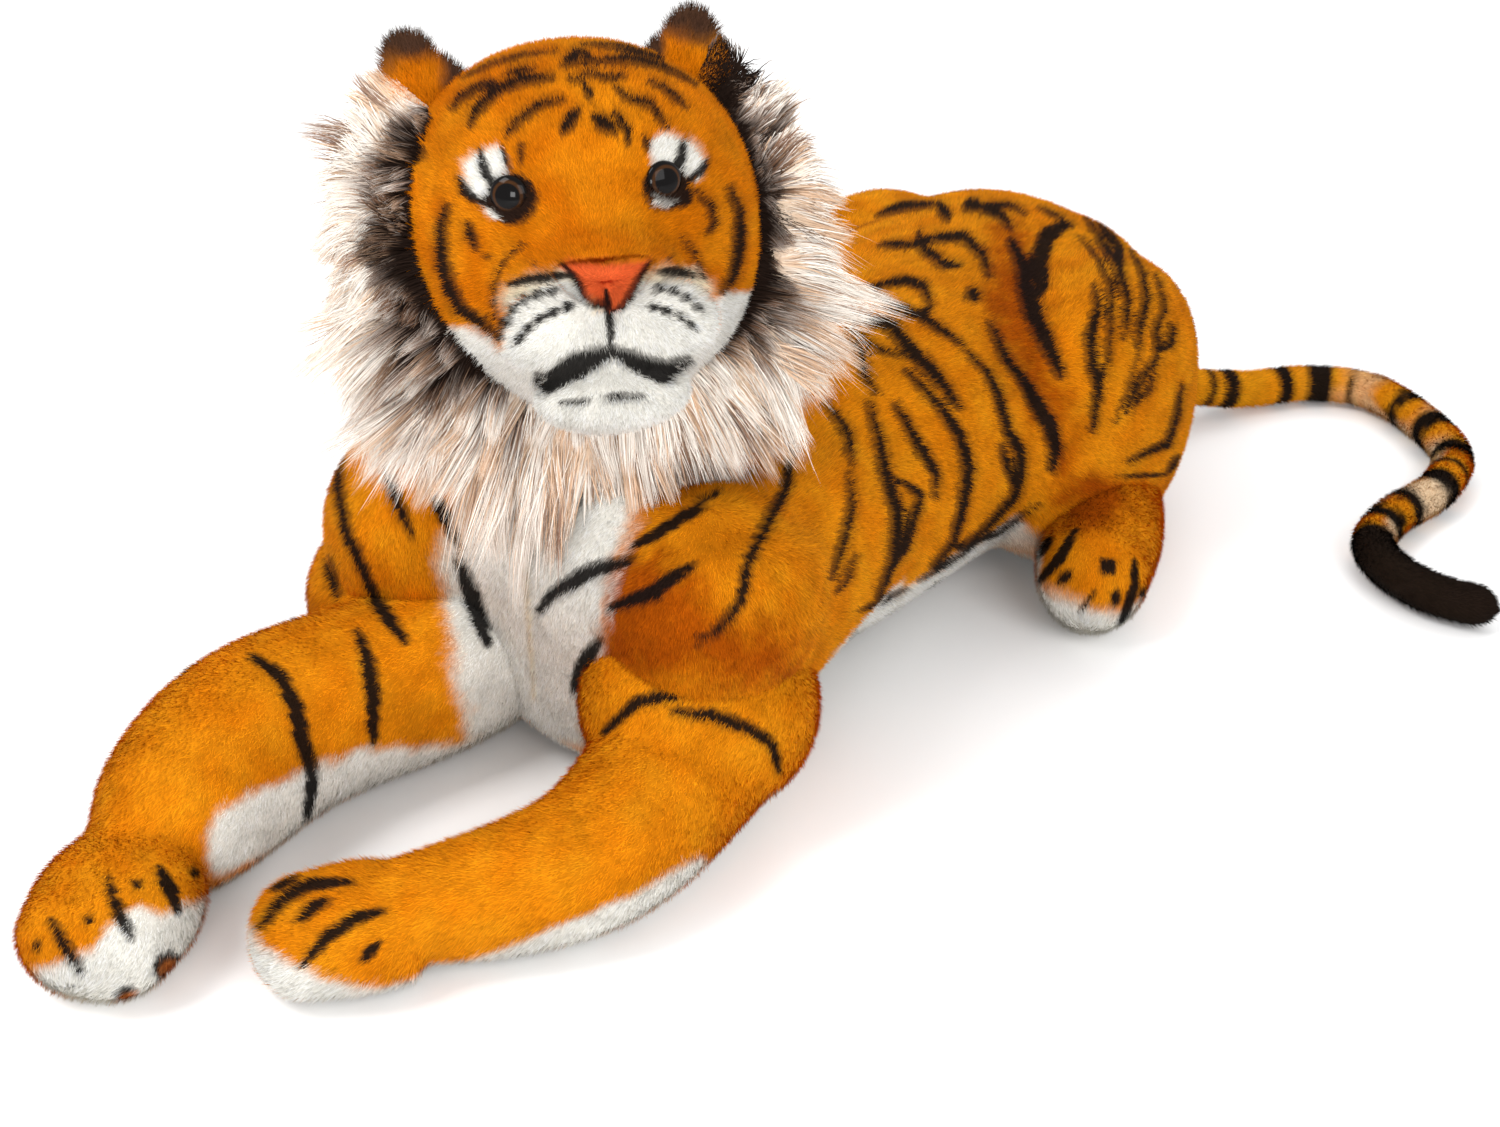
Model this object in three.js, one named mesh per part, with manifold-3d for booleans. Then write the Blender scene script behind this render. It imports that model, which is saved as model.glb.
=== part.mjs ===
// A large plush tiger lying down: stuffed body, turned head, front legs stretched out on the
// floor, hind feet beside the haunches and a long tail curled round to one side.
// Millimetres. The tiger looks along -Y, its left is +X, and Z is up from the floor.
// The origin is on the floor, in the middle of the flat underside of the belly.
import * as THREE from 'three';
import { mergeVertices } from 'three/addons/utils/BufferGeometryUtils.js';
import Module from 'manifold-3d';

const wasm = await Module();
wasm.setup();

// Driving sizes of the trunk
const bodyLength = 772;
const bodyWidth = 318;
const bodyHeight = 316;
const shoulderWidth = 172;
const shoulderHeight = 264;
const shoulderSpacing = 246;
const chestWidth = 236;
const chestHeight = 240;
const chestDepth = 100;
const haunchLength = 290;
const haunchWidth = 168;
const haunchHeight = 292;
const haunchSpacing = 240;

// Driving sizes of the head, which is turned to the tiger's left and lifted a little
const headWidth = 260;
const headDepth = 236;
const headHeight = 270;
const headRise = 437;
const headSetback = 35;
const headAside = -1;
const headTurn = 48;
const headLift = 12;
const headRoll = 2;
const snoutLength = 60;
const snoutWidth = 130;
const snoutHeight = 104;
const snoutDrop = 30;
const padWidth = 80;
const padHeight = 60;
const padDepth = 62;
const padDrop = 38;
const chinWidth = 108;
const chinHeight = 54;
const chinDepth = 70;
const chinDrop = 84;
const noseWidth = 54;
const noseHeight = 31;
const noseDepth = 12;
const noseDrop = 8;
const eyeDiameter = 29;
const eyeBulge = 9;
const eyeSpacing = 107;
const eyeRise = 44;
const eyeSplay = 20;
const shankDiameter = 6;
const shankLength = 20;
const washerDiameter = 24;
const washerThickness = 3;
const washerDepth = 9;
const earWidth = 68;
const earHeight = 58;
const earThickness = 24;
const earSpacing = 180;
const earSplay = 24;
const liningThickness = 8;
const ruffRadius = 170;
const ruffBand = 60;
const ruffDepth = 72;
const ruffSetback = 26;
const ruffAdvance = 30;
const neckDiameter = 152;
const neckRise = 303;
const neckSetback = 96;

// Driving sizes of the legs and feet
const elbowDiameter = 162;
const elbowSpacing = 208;
const elbowSetback = 56;
const wristDiameter = 82;
const leftLegReach = 306;
const rightLegReach = 368;
const pawWidth = 110;
const pawLength = 122;
const pawHeight = 92;
const footLength = 222;
const footWidth = 114;
const footHeight = 118;

// Driving sizes of the tail
const tailDiameter = 47;
const tailLength = 860;
const tailRise = 62;

// Thickness of the sewn-on cloth panels and how far up from the floor they reach
const panelThickness = 5;
const bellyPanelRise = 34;
const solePanelRise = 26;

// The depth of the flat where cloth meets the floor, and the clearances between pieces
const floorFlat = 0.5;
const sewnGap = 0.3;
const seatGap = 0.3;
const turningGap = 0.6;

// How finely the forms are divided
const formSides = 16;
const smallSides = 14;
const middleRings = 7;
const capRings = 3;

const up = new THREE.Vector3(0, 0, 1);
const ahead = new THREE.Vector3(0, -1, 0);
const sides = { left: 1, right: -1 };

const colours = {
  orange: 0xc9791c,
  cream: 0xe9e2d2,
  black: 0x1c1917,
  nose: 0xe0582f,
  ruff: 0xcbb9a6,
  brown: 0x3a2012,
  plastic: 0x8a8a86,
};

// Reads one column of a table of stations at a share of the way along it, smoothly
function smoothValue(stations, column, share) {
  const last = stations.length - 1;
  if (share <= stations[0][0]) return stations[0][column];
  if (share >= stations[last][0]) return stations[last][column];
  const next = stations.findIndex((station) => station[0] > share);
  const slope = (i) => {
    const before = stations[Math.max(i - 1, 0)];
    const after = stations[Math.min(i + 1, last)];
    return (after[column] - before[column]) / (after[0] - before[0]);
  };
  const from = stations[next - 1];
  const to = stations[next];
  const span = to[0] - from[0];
  const t = (share - from[0]) / span;
  return (1 + 2 * t) * (1 - t) ** 2 * from[column]
    + t * (1 - t) ** 2 * span * slope(next - 1)
    + t * t * (3 - 2 * t) * to[column]
    + t * t * (t - 1) * span * slope(next);
}

const signedPower = (value, exponent) => Math.sign(value) * Math.abs(value) ** exponent;

// Where the rings of a form lie: each is a place along the spine and how full the section is
function ringPlaces(length, capStart, capEnd, middle) {
  const places = [];
  for (let i = 1; i <= capRings; i++) {
    const angle = (i / capRings) * (Math.PI / 2);
    places.push({ along: -capStart * Math.cos(angle), full: Math.sin(angle) });
  }
  for (let i = 1; i < middle; i++) places.push({ along: (length * i) / middle, full: 1 });
  for (let i = capRings; i >= 1; i--) {
    const angle = (i / capRings) * (Math.PI / 2);
    places.push({ along: length + capEnd * Math.cos(angle), full: Math.sin(angle) });
  }
  return places;
}

// A closed stuffed form: rounded sections strung on a smooth spine, with a rounded cap past each
// end. A station is [share along the spine, half width, half height above, half height below].
// The form can be grown all round, to cut a neighbour with a clearance.
function stuffedForm(shape, grow = 0) {
  const { spine, stations, capStart, capEnd } = shape;
  const count = shape.sides ?? formSides;
  const bendAbove = 2 / (shape.roundness ?? 2);
  const bendBelow = 2 / (shape.roundnessBelow ?? shape.roundness ?? 2);
  const length = spine.getLength();
  const places = ringPlaces(length, capStart + grow, capEnd + grow, shape.rings ?? middleRings);
  const frameAt = (along) => {
    const share = THREE.MathUtils.clamp(along / length, 0, 1);
    const tangent = spine.getTangentAt(share);
    const across = new THREE.Vector3().crossVectors(shape.up ?? up, tangent).normalize();
    const rise = new THREE.Vector3().crossVectors(tangent, across);
    const centre = spine.getPointAt(share).addScaledVector(tangent, along - share * length);
    return { share, across, rise, centre };
  };
  const points = [];
  for (const { along, full } of places) {
    const frame = frameAt(along);
    const [width, above, below] = [1, 2, 3].map((c) => smoothValue(stations, c, frame.share) + grow);
    for (let j = 0; j < count; j++) {
      const angle = (j / count) * 2 * Math.PI;
      const rising = Math.sin(angle);
      const height = rising >= 0 ? above : below;
      const bend = rising >= 0 ? bendAbove : bendBelow;
      points.push(frame.centre.clone()
        .addScaledVector(frame.across, full * width * signedPower(Math.cos(angle), bend))
        .addScaledVector(frame.rise, full * height * signedPower(rising, bend)));
    }
  }
  const startIndex = points.push(frameAt(-capStart - grow).centre) - 1;
  const endIndex = points.push(frameAt(length + capEnd + grow).centre) - 1;
  const lastRing = (places.length - 1) * count;
  const faces = [];
  for (let j = 0; j < count; j++) {
    const k = (j + 1) % count;
    for (let ring = 0; ring < lastRing; ring += count) {
      faces.push(ring + j, ring + k, ring + count + k, ring + j, ring + count + k, ring + count + j);
    }
    faces.push(startIndex, k, j, endIndex, lastRing + j, lastRing + k);
  }
  return new THREE.BufferGeometry().setFromPoints(points).setIndex(faces);
}

// Turns a closed geometry into a solid that can be cut and joined
function solidOf(geometry) {
  const bare = geometry.clone();
  bare.deleteAttribute('normal');
  bare.deleteAttribute('uv');
  const closed = mergeVertices(bare);
  return new wasm.Manifold(new wasm.Mesh({
    numProp: 3,
    vertProperties: Float32Array.from(closed.attributes.position.array),
    triVerts: Uint32Array.from(closed.index.array),
  }));
}

const formSolid = (shape, grow = 0) => solidOf(stuffedForm(shape, grow));
const cutBy = (solid, ...cutters) => cutters.flat().reduce((left, cutter) => left.subtract(cutter), solid);

// Scales a table of station shares by a form's own half sizes
function scaledStations(stationShares, width, above, below = above) {
  return stationShares.map(([share, a, b, c = b]) => [share, a * width, b * above, c * below]);
}

// An ellipsoid with its own half sizes, as a form on a short straight spine
const roundSpineShare = 0.01;
function roundForm(centre, half, options = {}) {
  const direction = options.direction ?? ahead;
  const reach = half.y * roundSpineShare;
  return {
    spine: new THREE.LineCurve3(
      centre.clone().addScaledVector(direction, -reach),
      centre.clone().addScaledVector(direction, reach),
    ),
    stations: [[0, half.x, half.z, half.z], [1, half.x, half.z, half.z]],
    capStart: half.y - reach,
    capEnd: half.y - reach,
    rings: 1,
    ...options,
  };
}

const place = (x, y, z) => new THREE.Vector3(x, y, z);
const smoothCurve = (points) => new THREE.CatmullRomCurve3(points, false, 'centripetal');

// The flat of a faceted ball that lies nearest to its middle
function nearestFlat(ball) {
  const { index } = ball;
  const corner = (i) => new THREE.Vector3().fromBufferAttribute(ball.attributes.position, index.getX(i));
  let nearest = { distance: Infinity };
  for (let i = 0; i < index.count; i += 3) {
    const plane = new THREE.Plane().setFromCoplanarPoints(corner(i), corner(i + 1), corner(i + 2));
    const distance = Math.abs(plane.constant);
    if (distance < nearest.distance) nearest = { distance, normal: plane.normal };
  }
  return nearest;
}

// A seat for a stuffed ball that turns in it. All its flats clear the ball, and the nearest one
// faces the way given, where the ball's own end rests against it.
function ballSeat(centre, radius, towards, count = formSides) {
  const ball = new THREE.SphereGeometry(1, count, count / 2);
  const { distance, normal } = nearestFlat(ball);
  const size = (radius + seatGap) / distance;
  const turn = new THREE.Quaternion().setFromUnitVectors(normal, towards.clone().normalize());
  return solidOf(ball.scale(size, size, size).applyQuaternion(turn).translate(centre.x, centre.y, centre.z));
}

// The space in front of a seat that a turning limb needs. It touches the ball where the limb does
// at its limits, and opens out from there. Spreads are the tangents of the limits.
function turningSpace({ pivot, heading, radius, reach, spreadAside = 0, spreadUp = 0, spreadDown = 0, options = {} }) {
  const spread = Math.max(spreadAside, spreadUp, spreadDown);
  const back = radius * Math.sin(Math.atan(spread));
  const flatShare = Math.cos(Math.PI / (options.sides ?? formSides));
  const halfAt = (tangent, along) => (turningGap + radius * Math.hypot(1, tangent) + along * tangent) / flatShare;
  const sizes = [spreadAside, spreadUp, spreadDown];
  return formSolid({
    spine: new THREE.LineCurve3(
      pivot.clone().addScaledVector(heading, -back),
      pivot.clone().addScaledVector(heading, reach),
    ),
    stations: [
      [0, ...sizes.map((tangent) => halfAt(tangent, -back))],
      [1, ...sizes.map((tangent) => halfAt(tangent, reach))],
    ],
    capStart: radius / 2,
    capEnd: radius / 2,
    rings: 1,
    ...options,
  });
}

// The tangent of a joint's limit, with some degrees to spare
const spareAngle = 3;
const tangentOf = (angle) => Math.tan(THREE.MathUtils.degToRad(Math.abs(angle) + spareAngle));

const tiger = new THREE.Group();
tiger.userData.pivots = {};

function addPiece(name, solid, colour, parent = tiger, roughness = 0.95) {
  const mesh = solid.getMesh();
  const geometry = new THREE.BufferGeometry();
  geometry.setAttribute('position', new THREE.BufferAttribute(mesh.vertProperties, 3));
  geometry.setIndex(new THREE.BufferAttribute(mesh.triVerts, 1));
  geometry.computeVertexNormals();
  const material = new THREE.MeshStandardMaterial({ color: colour, roughness, metalness: 0 });
  const piece = new THREE.Mesh(geometry, material);
  piece.name = name;
  parent.add(piece);
}

// Remembers where a piece turns and about which axis, so that its joint can be read off
function addPivot(name, point, axis) {
  tiger.userData.pivots[name] = { point: point.toArray(), axis: axis.toArray() };
}

// A slab of the space below a height, to flatten what sinks into the floor and to part off panels
const slabReach = bodyLength + tailLength;
const slabBelow = (height) => solidOf(new THREE.BoxGeometry(slabReach, slabReach, slabReach)
  .translate(0, 0, height - slabReach / 2));
const floor = slabBelow(0);

// The frame of the trunk, measured from its front end
const frontShare = -0.31;
const frontY = bodyLength * frontShare;
const rearY = frontY + bodyLength;

// The torso: a bolster along Y, lower at the front where the neck comes out
const torsoCapShare = 0.095;
const torsoCap = bodyLength * torsoCapShare;
const torsoMiddle = bodyHeight / 2;
const torsoShares = [
  [0, 0.82, 0.48, 1],
  [0.1, 0.9, 0.62, 1],
  [0.2, 0.96, 0.77, 1],
  [0.31, 1, 0.92, 1],
  [0.43, 1, 1, 1],
  [0.56, 1, 1, 1],
  [0.69, 1, 1.01, 1],
  [0.81, 0.98, 1.02, 1],
  [0.92, 0.93, 0.84, 1],
  [1, 0.84, 0.46, 1],
];
const torsoSides = 18;
const torsoRoundnessBelow = 1.85;
// The lowest facet lies a little above the lowest point of the smooth section; it rests on the floor
const torsoFacetShare = Math.cos(Math.PI / torsoSides) ** (2 / torsoRoundnessBelow);
const torsoForm = {
  spine: new THREE.LineCurve3(
    place(0, frontY + torsoCap, torsoMiddle),
    place(0, rearY - torsoCap, torsoMiddle),
  ),
  stations: scaledStations(torsoShares, bodyWidth / 2, torsoMiddle, (torsoMiddle + floorFlat) / torsoFacetShare),
  capStart: torsoCap,
  capEnd: torsoCap,
  sides: torsoSides,
  rings: 10,
  roundness: 2.1,
  roundnessBelow: torsoRoundnessBelow,
};

// The shoulders: upright columns at the front corners, over the roots of the front legs
const shoulderSetback = 40;
const rightAdvance = 30;
const advances = { left: 0, right: rightAdvance };
const shoulderCapShare = 0.2;
const shoulderRouteShares = [[0.06, 0.02, 0.52], [0.03, 0.06, 0.65], [-0.08, 0, 0.8]];
const shoulderShares = [[0, 0.9, 1.02], [0.5, 1, 1.08], [1, 0.82, 0.92]];
const shoulderForm = (name) => ({
  spine: smoothCurve(shoulderRouteShares.map(([aside, forward, rise]) => place(
    sides[name] * (shoulderSpacing / 2 + aside * shoulderWidth),
    frontY + shoulderSetback - advances[name] - forward * shoulderWidth,
    rise * shoulderHeight,
  ))),
  stations: scaledStations(shoulderShares, shoulderWidth / 2, shoulderWidth / 2),
  capStart: shoulderHeight * shoulderCapShare,
  capEnd: shoulderHeight * shoulderCapShare,
  up: ahead,
  rings: 4,
});

// The haunches: one rounded thigh at each side of the rump
const haunchPlaceShare = 0.706;
const haunchRoundness = 2.3;
const haunchY = frontY + bodyLength * haunchPlaceShare;
const haunchForm = (side) => roundForm(
  place(side * (haunchSpacing / 2), haunchY, haunchHeight / 2 - floorFlat),
  place(haunchWidth / 2, haunchLength / 2, haunchHeight / 2),
  { roundness: haunchRoundness },
);

// The chest: the soft white front between the shoulders
const chestRoundness = 2.3;
const chestForm = roundForm(
  place(0, frontY + chestDepth / 4, chestHeight / 2 - floorFlat),
  place(chestWidth / 2, chestDepth / 2, chestHeight / 2),
  { roundness: chestRoundness },
);

// The front legs: each is a tapering bolster that starts as a ball under its shoulder and ends as
// a ball inside its paw. A route point is [share aside, share ahead] of the leg's reach.
const legLift = 18;
const legSpread = 14;
const pawFlex = 12;
const wristFlare = 0.3;
const wristClearance = 3;
const legPoses = {
  left: {
    reach: leftLegReach,
    pawTurn: 38,
    routeShares: [[0, 0], [0.1, 0.24], [0.15, 0.6], [-0.05, 1]],
    swellShares: [[0, 1, 1], [0.3, 0.94, 0.82], [0.65, 1.06, 0.9], [0.87, 1.04, 0.96], [1, 1, 1]],
  },
  right: {
    reach: rightLegReach,
    pawTurn: 29,
    routeShares: [[0, 0], [-0.01, 0.2], [0.07, 0.6], [-0.02, 1]],
    swellShares: [[0, 1, 1], [0.3, 1.14, 1.26], [0.65, 1.4, 1.5], [0.87, 1.26, 1.4], [1, 1, 1]],
  },
};

function legFor(name) {
  const side = sides[name];
  const { reach, pawTurn, routeShares, swellShares } = legPoses[name];
  const elbowRadius = elbowDiameter / 2;
  const wristRadius = wristDiameter / 2;
  const elbow = place(side * elbowSpacing / 2, frontY + elbowSetback - advances[name], elbowRadius - floorFlat);
  const wristRise = wristRadius + panelThickness + wristClearance;
  const route = routeShares.map(([aside, forward]) => place(
    elbow.x + side * aside * reach,
    elbow.y - forward * reach,
    THREE.MathUtils.lerp(elbow.z, wristRise, forward),
  ));
  const stations = swellShares.map(([share, wide, tall]) => {
    const half = THREE.MathUtils.lerp(elbowRadius, wristRadius, share);
    return [share, half * wide, half * tall, THREE.MathUtils.lerp(elbow.z, wristRise, share)];
  });
  stations[0][3] = elbowRadius;
  stations[stations.length - 1][3] = wristRadius;
  const form = { spine: smoothCurve(route), stations, capStart: elbowRadius, capEnd: wristRadius, rings: 7 };
  const heading = ahead.clone().applyAxisAngle(up, THREE.MathUtils.degToRad(-side * pawTurn));
  return { side, form, elbow, wrist: route[route.length - 1], heading };
}

const legs = { left: legFor('left'), right: legFor('right') };
const sidewaysAxis = place(-1, 0, 0);
const acrossOf = (heading) => new THREE.Vector3().crossVectors(heading, up).normalize();

const elbowSpaces = Object.values(legs).flatMap(({ elbow, form }) => [
  ballSeat(elbow, elbowDiameter / 2, form.spine.getTangentAt(0).negate()),
  turningSpace({
    pivot: elbow,
    heading: ahead,
    radius: elbowDiameter / 2,
    reach: elbowDiameter,
    spreadAside: tangentOf(legSpread),
    spreadUp: tangentOf(legLift),
  }),
]);

// The front paws: wider than the leg, with a cloth sole under each
const pawCapShare = 0.3;
const pawHeelShare = 0.1;
const pawRoundness = 2.2;
const pawShares = [[0, 0.86, 0.97, 1], [0.45, 1, 1, 1], [1, 0.93, 0.86, 1]];

function pawForm({ wrist, heading }) {
  const low = place(wrist.x, wrist.y, pawHeight / 2 - floorFlat);
  const heel = pawLength * pawHeelShare;
  const cap = pawLength * pawCapShare;
  return {
    spine: new THREE.LineCurve3(
      low,
      low.clone().addScaledVector(heading, pawLength - heel - cap),
    ),
    stations: scaledStations(pawShares, pawWidth / 2, pawHeight / 2),
    capStart: heel,
    capEnd: cap,
    sides: smallSides,
    rings: 3,
    roundness: pawRoundness,
  };
}

// Parts a cloth panel off the underside of a form, up to a height. Gives the panel and the rest.
function partPanel(whole, shape, height) {
  const panel = cutBy(whole.intersect(slabBelow(height)), formSolid(shape, -panelThickness));
  const kept = cutBy(slabBelow(height + sewnGap), formSolid(shape, -panelThickness - sewnGap));
  return { panel, rest: cutBy(whole, kept) };
}

function addFrontLegs() {
  for (const [name, leg] of Object.entries(legs)) {
    const { form, elbow, wrist, heading } = leg;
    const others = Object.values(legs).filter((other) => other !== leg).map((other) => formSolid(other.form, sewnGap));
    addPiece(`${name}_front_leg`, cutBy(formSolid(form), floor, others), colours.orange);
    const shape = pawForm(leg);
    const wristAxis = acrossOf(heading);
    const wristSpace = turningSpace({
      pivot: wrist,
      heading: form.spine.getTangentAt(1).negate(),
      radius: wristDiameter / 2,
      reach: wristDiameter,
      spreadAside: wristFlare,
      spreadUp: tangentOf(pawFlex) + wristFlare,
      spreadDown: wristFlare,
      options: { sides: smallSides },
    });
    const wristSeat = ballSeat(wrist, wristDiameter / 2, form.spine.getTangentAt(1), smallSides);
    const whole = cutBy(formSolid(shape), floor, wristSeat, wristSpace);
    const { panel, rest } = partPanel(whole, shape, solePanelRise);
    addPiece(`${name}_front_paw`, rest, colours.orange);
    addPiece(`${name}_front_sole`, panel, colours.cream);
    addPivot(`${name}_leg_lift`, elbow, sidewaysAxis);
    addPivot(`${name}_paw_flex`, wrist, wristAxis);
  }
}

// The hind feet: each starts as a ball in the underside of its haunch and points outwards
const footTurn = 27;
const footSwing = 10;
const footInset = 0;
const footPlaceShare = 0.689;
const footShares = [[0, 0.96, 0.96, 1], [0.45, 1, 1, 1], [1, 0.9, 0.84, 1]];

function footFor(side) {
  const heel = footHeight / 2;
  const heading = ahead.clone().applyAxisAngle(up, THREE.MathUtils.degToRad(side * footTurn));
  const ankle = place(side * (haunchSpacing / 2 + footHeight / 3 + footInset), frontY + bodyLength * footPlaceShare, heel - floorFlat);
  const form = {
    spine: new THREE.LineCurve3(ankle, ankle.clone().addScaledVector(heading, footLength - heel - heel)),
    stations: scaledStations(footShares, footWidth / 2, footHeight / 2),
    capStart: heel,
    capEnd: heel,
    rings: 4,
  };
  return { form, ankle, heading };
}

const feet = { left: footFor(sides.left), right: footFor(sides.right) };
const footSpaces = Object.values(feet).flatMap(({ ankle, heading }) => [
  ballSeat(ankle, footHeight / 2, heading.clone().negate()),
  turningSpace({
    pivot: ankle,
    heading,
    radius: footHeight / 2,
    reach: footLength / 2,
    spreadAside: tangentOf(footSwing),
  }),
]);

function addHindFeet() {
  for (const [name, { form, ankle }] of Object.entries(feet)) {
    const whole = cutBy(formSolid(form), floor);
    const { panel, rest } = partPanel(whole, form, solePanelRise);
    addPiece(`${name}_hind_foot`, rest, colours.orange);
    addPiece(`${name}_hind_sole`, panel, colours.cream);
    addPivot(`${name}_foot_swing`, ankle, up);
  }
}

// The tail: a long tube that comes down from the rump and curls forward on the tiger's left. It
// bends at four places, and its root also lifts. Route points are [aside, back, height above the
// floor rest] as shares of the tail's length and of its rise at the rump.
const tailRouteShares = [
  [0, 0, 1], [0.025, 0.05, 0.75], [0.065, 0.125, 0.28], [0.107, 0.197, 0.03], [0.152, 0.262, 0],
  [0.22, 0.294, 0], [0.315, 0.251, 0], [0.378, 0.19, 0], [0.398, 0.1, 0], [0.388, 0.015, 0],
  [0.4, -0.058, 0], [0.444, -0.098, 0], [0.497, -0.112, 0], [0.532, -0.106, 0],
];
const tailRootAside = 6;
const tailRootInset = 28;
const tailBreakShares = [0, 0.12, 0.32, 0.52, 0.72, 1];
const tailNames = ['tail_root', 'tail_upper', 'tail_middle', 'tail_lower', 'tail_tip'];
const tailBend = 18;
const tailLift = 19;
const tailRadius = tailDiameter / 2;
const tailSamples = 5;
const tailSides = 14;
const tailCurve = smoothCurve(tailRouteShares.map(([aside, back, rise]) => place(
  tailRootAside + aside * tailLength,
  rearY - tailRootInset + back * tailLength,
  tailRadius - floorFlat + rise * tailRise,
)));

function tailSegment(index) {
  const from = tailBreakShares[index];
  const to = tailBreakShares[index + 1];
  const points = [];
  for (let i = 0; i <= tailSamples; i++) {
    points.push(tailCurve.getPointAt(THREE.MathUtils.lerp(from, to, i / tailSamples)));
  }
  const shape = {
    spine: smoothCurve(points),
    stations: scaledStations([[0, 1, 1], [1, 1, 1]], tailRadius, tailRadius),
    capStart: tailRadius,
    capEnd: tailRadius,
    sides: tailSides,
    rings: 7,
  };
  return { shape, pivot: points[0], heading: tailCurve.getTangentAt(from) };
}

const tailSegments = tailNames.map((_, index) => tailSegment(index));
const tailRoot = tailSegments[0];
const tailRootAxis = new THREE.Vector3().crossVectors(tailRoot.heading, up).normalize();
const tailSpaces = [
  ballSeat(tailRoot.pivot, tailRadius, tailRoot.heading.clone().negate(), tailSides),
  turningSpace({
    pivot: tailRoot.pivot,
    heading: tailRoot.heading,
    radius: tailRadius + turningGap + turningGap,
    reach: tailDiameter * 2,
    spreadUp: tangentOf(tailLift),
    options: { sides: tailSides },
  }),
];

// What one tail piece gives up to the next, which bends sideways in it
const tailSeat = ({ pivot, heading }) => [
  ballSeat(pivot, tailRadius, heading.clone().negate(), tailSides),
  turningSpace({
    pivot,
    heading,
    radius: tailRadius,
    reach: tailDiameter,
    spreadAside: tangentOf(tailBend),
    options: { sides: tailSides },
  }),
];

function addTail() {
  tailSegments.forEach(({ shape }, index) => {
    const next = tailSegments[index + 1];
    const spaces = next ? tailSeat(next) : [];
    const colour = next ? colours.orange : colours.black;
    addPiece(tailNames[index], cutBy(formSolid(shape), floor, spaces), colour);
    if (next) addPivot(`${tailNames[index + 1]}_bend`, next.pivot, up);
  });
  addPivot('tail_lift', tailRoot.pivot, tailRootAxis);
}

// The neck: a stuffed ball that the head turns and nods on
const neckCentre = place(0, frontY + neckSetback, neckRise);
const neckForm = roundForm(neckCentre, place(neckDiameter / 2, neckDiameter / 2, neckDiameter / 2));
const neckSeat = ballSeat(neckCentre, neckDiameter / 2, up);

// Adds the torso with the belly panel under it, and what is sewn to the torso
function addTrunk() {
  const moving = [neckSeat, elbowSpaces, footSpaces, tailSpaces].flat();
  const whole = cutBy(formSolid(torsoForm), floor, moving);
  const { panel, rest } = partPanel(whole, torsoForm, bellyPanelRise);
  addPiece('torso', rest, colours.orange);
  addPiece('belly_panel', panel, colours.cream);
  const torsoSpace = formSolid(torsoForm, sewnGap);
  const shoulderSpaces = [];
  for (const [name, side] of Object.entries(sides)) {
    const haunch = cutBy(formSolid(haunchForm(side)), floor, torsoSpace, moving);
    addPiece(`${name}_haunch`, haunch, colours.orange);
    const shoulder = cutBy(formSolid(shoulderForm(name)), floor, torsoSpace, moving);
    addPiece(`${name}_shoulder`, shoulder, colours.orange);
    shoulderSpaces.push(formSolid(shoulderForm(name), sewnGap));
  }
  addPiece('chest_panel', cutBy(formSolid(chestForm), floor, torsoSpace, shoulderSpaces, moving), colours.cream);
  addPiece('neck', formSolid(neckForm), colours.orange);
  addPivot('head_turn', neckCentre, up);
}

// The head has its own frame: it looks along -Y, with the middle of the skull at the origin
const head = new THREE.Group();
head.position.set(headAside, frontY + headSetback, headRise);
head.rotation.set(
  THREE.MathUtils.degToRad(-headLift),
  THREE.MathUtils.degToRad(-headRoll),
  THREE.MathUtils.degToRad(headTurn),
  'ZXY',
);
head.updateMatrix();
tiger.add(head);
const intoHead = head.matrix.clone().invert();

const skullRoundness = 2.15;
const skullHalf = place(headWidth / 2, headDepth / 2, headHeight / 2);
const skullForm = roundForm(place(0, 0, 0), skullHalf, { roundness: skullRoundness, sides: 20 });

// How far forward the skull's surface is, at a place on the face
function faceY(x, z) {
  const section = Math.abs(x / skullHalf.x) ** skullRoundness + Math.abs(z / skullHalf.z) ** skullRoundness;
  return -skullHalf.y * Math.sqrt(1 - section ** (2 / skullRoundness));
}

const snoutFront = -(skullHalf.y + snoutLength);
const snoutCapShare = 0.35;
const snoutShares = [[0, 1, 1.05, 1], [0.6, 0.95, 0.85, 0.95], [1, 0.72, 0.62, 0.8]];
const snoutForm = {
  spine: smoothCurve([
    place(0, -skullHalf.y / 2, -snoutDrop / 2),
    place(0, snoutFront / 2 - skullHalf.y / 2, -snoutDrop),
    place(0, snoutFront + snoutLength * snoutCapShare, -snoutDrop),
  ]),
  stations: scaledStations(snoutShares, snoutWidth / 2, snoutHeight / 2),
  capStart: skullHalf.y / 4,
  capEnd: snoutLength * snoutCapShare,
  rings: 4,
};

const padOverlapShare = 0.06;
const padForm = (side) => roundForm(
  place(side * padWidth * (0.5 - padOverlapShare), snoutFront + padDepth / 3, -padDrop),
  place(padWidth / 2, padDepth / 2, padHeight / 2),
  { sides: smallSides },
);

const chinForm = roundForm(
  place(0, snoutFront + snoutLength / 2, -chinDrop),
  place(chinWidth / 2, chinDepth / 2, chinHeight / 2),
  { sides: smallSides },
);

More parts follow.
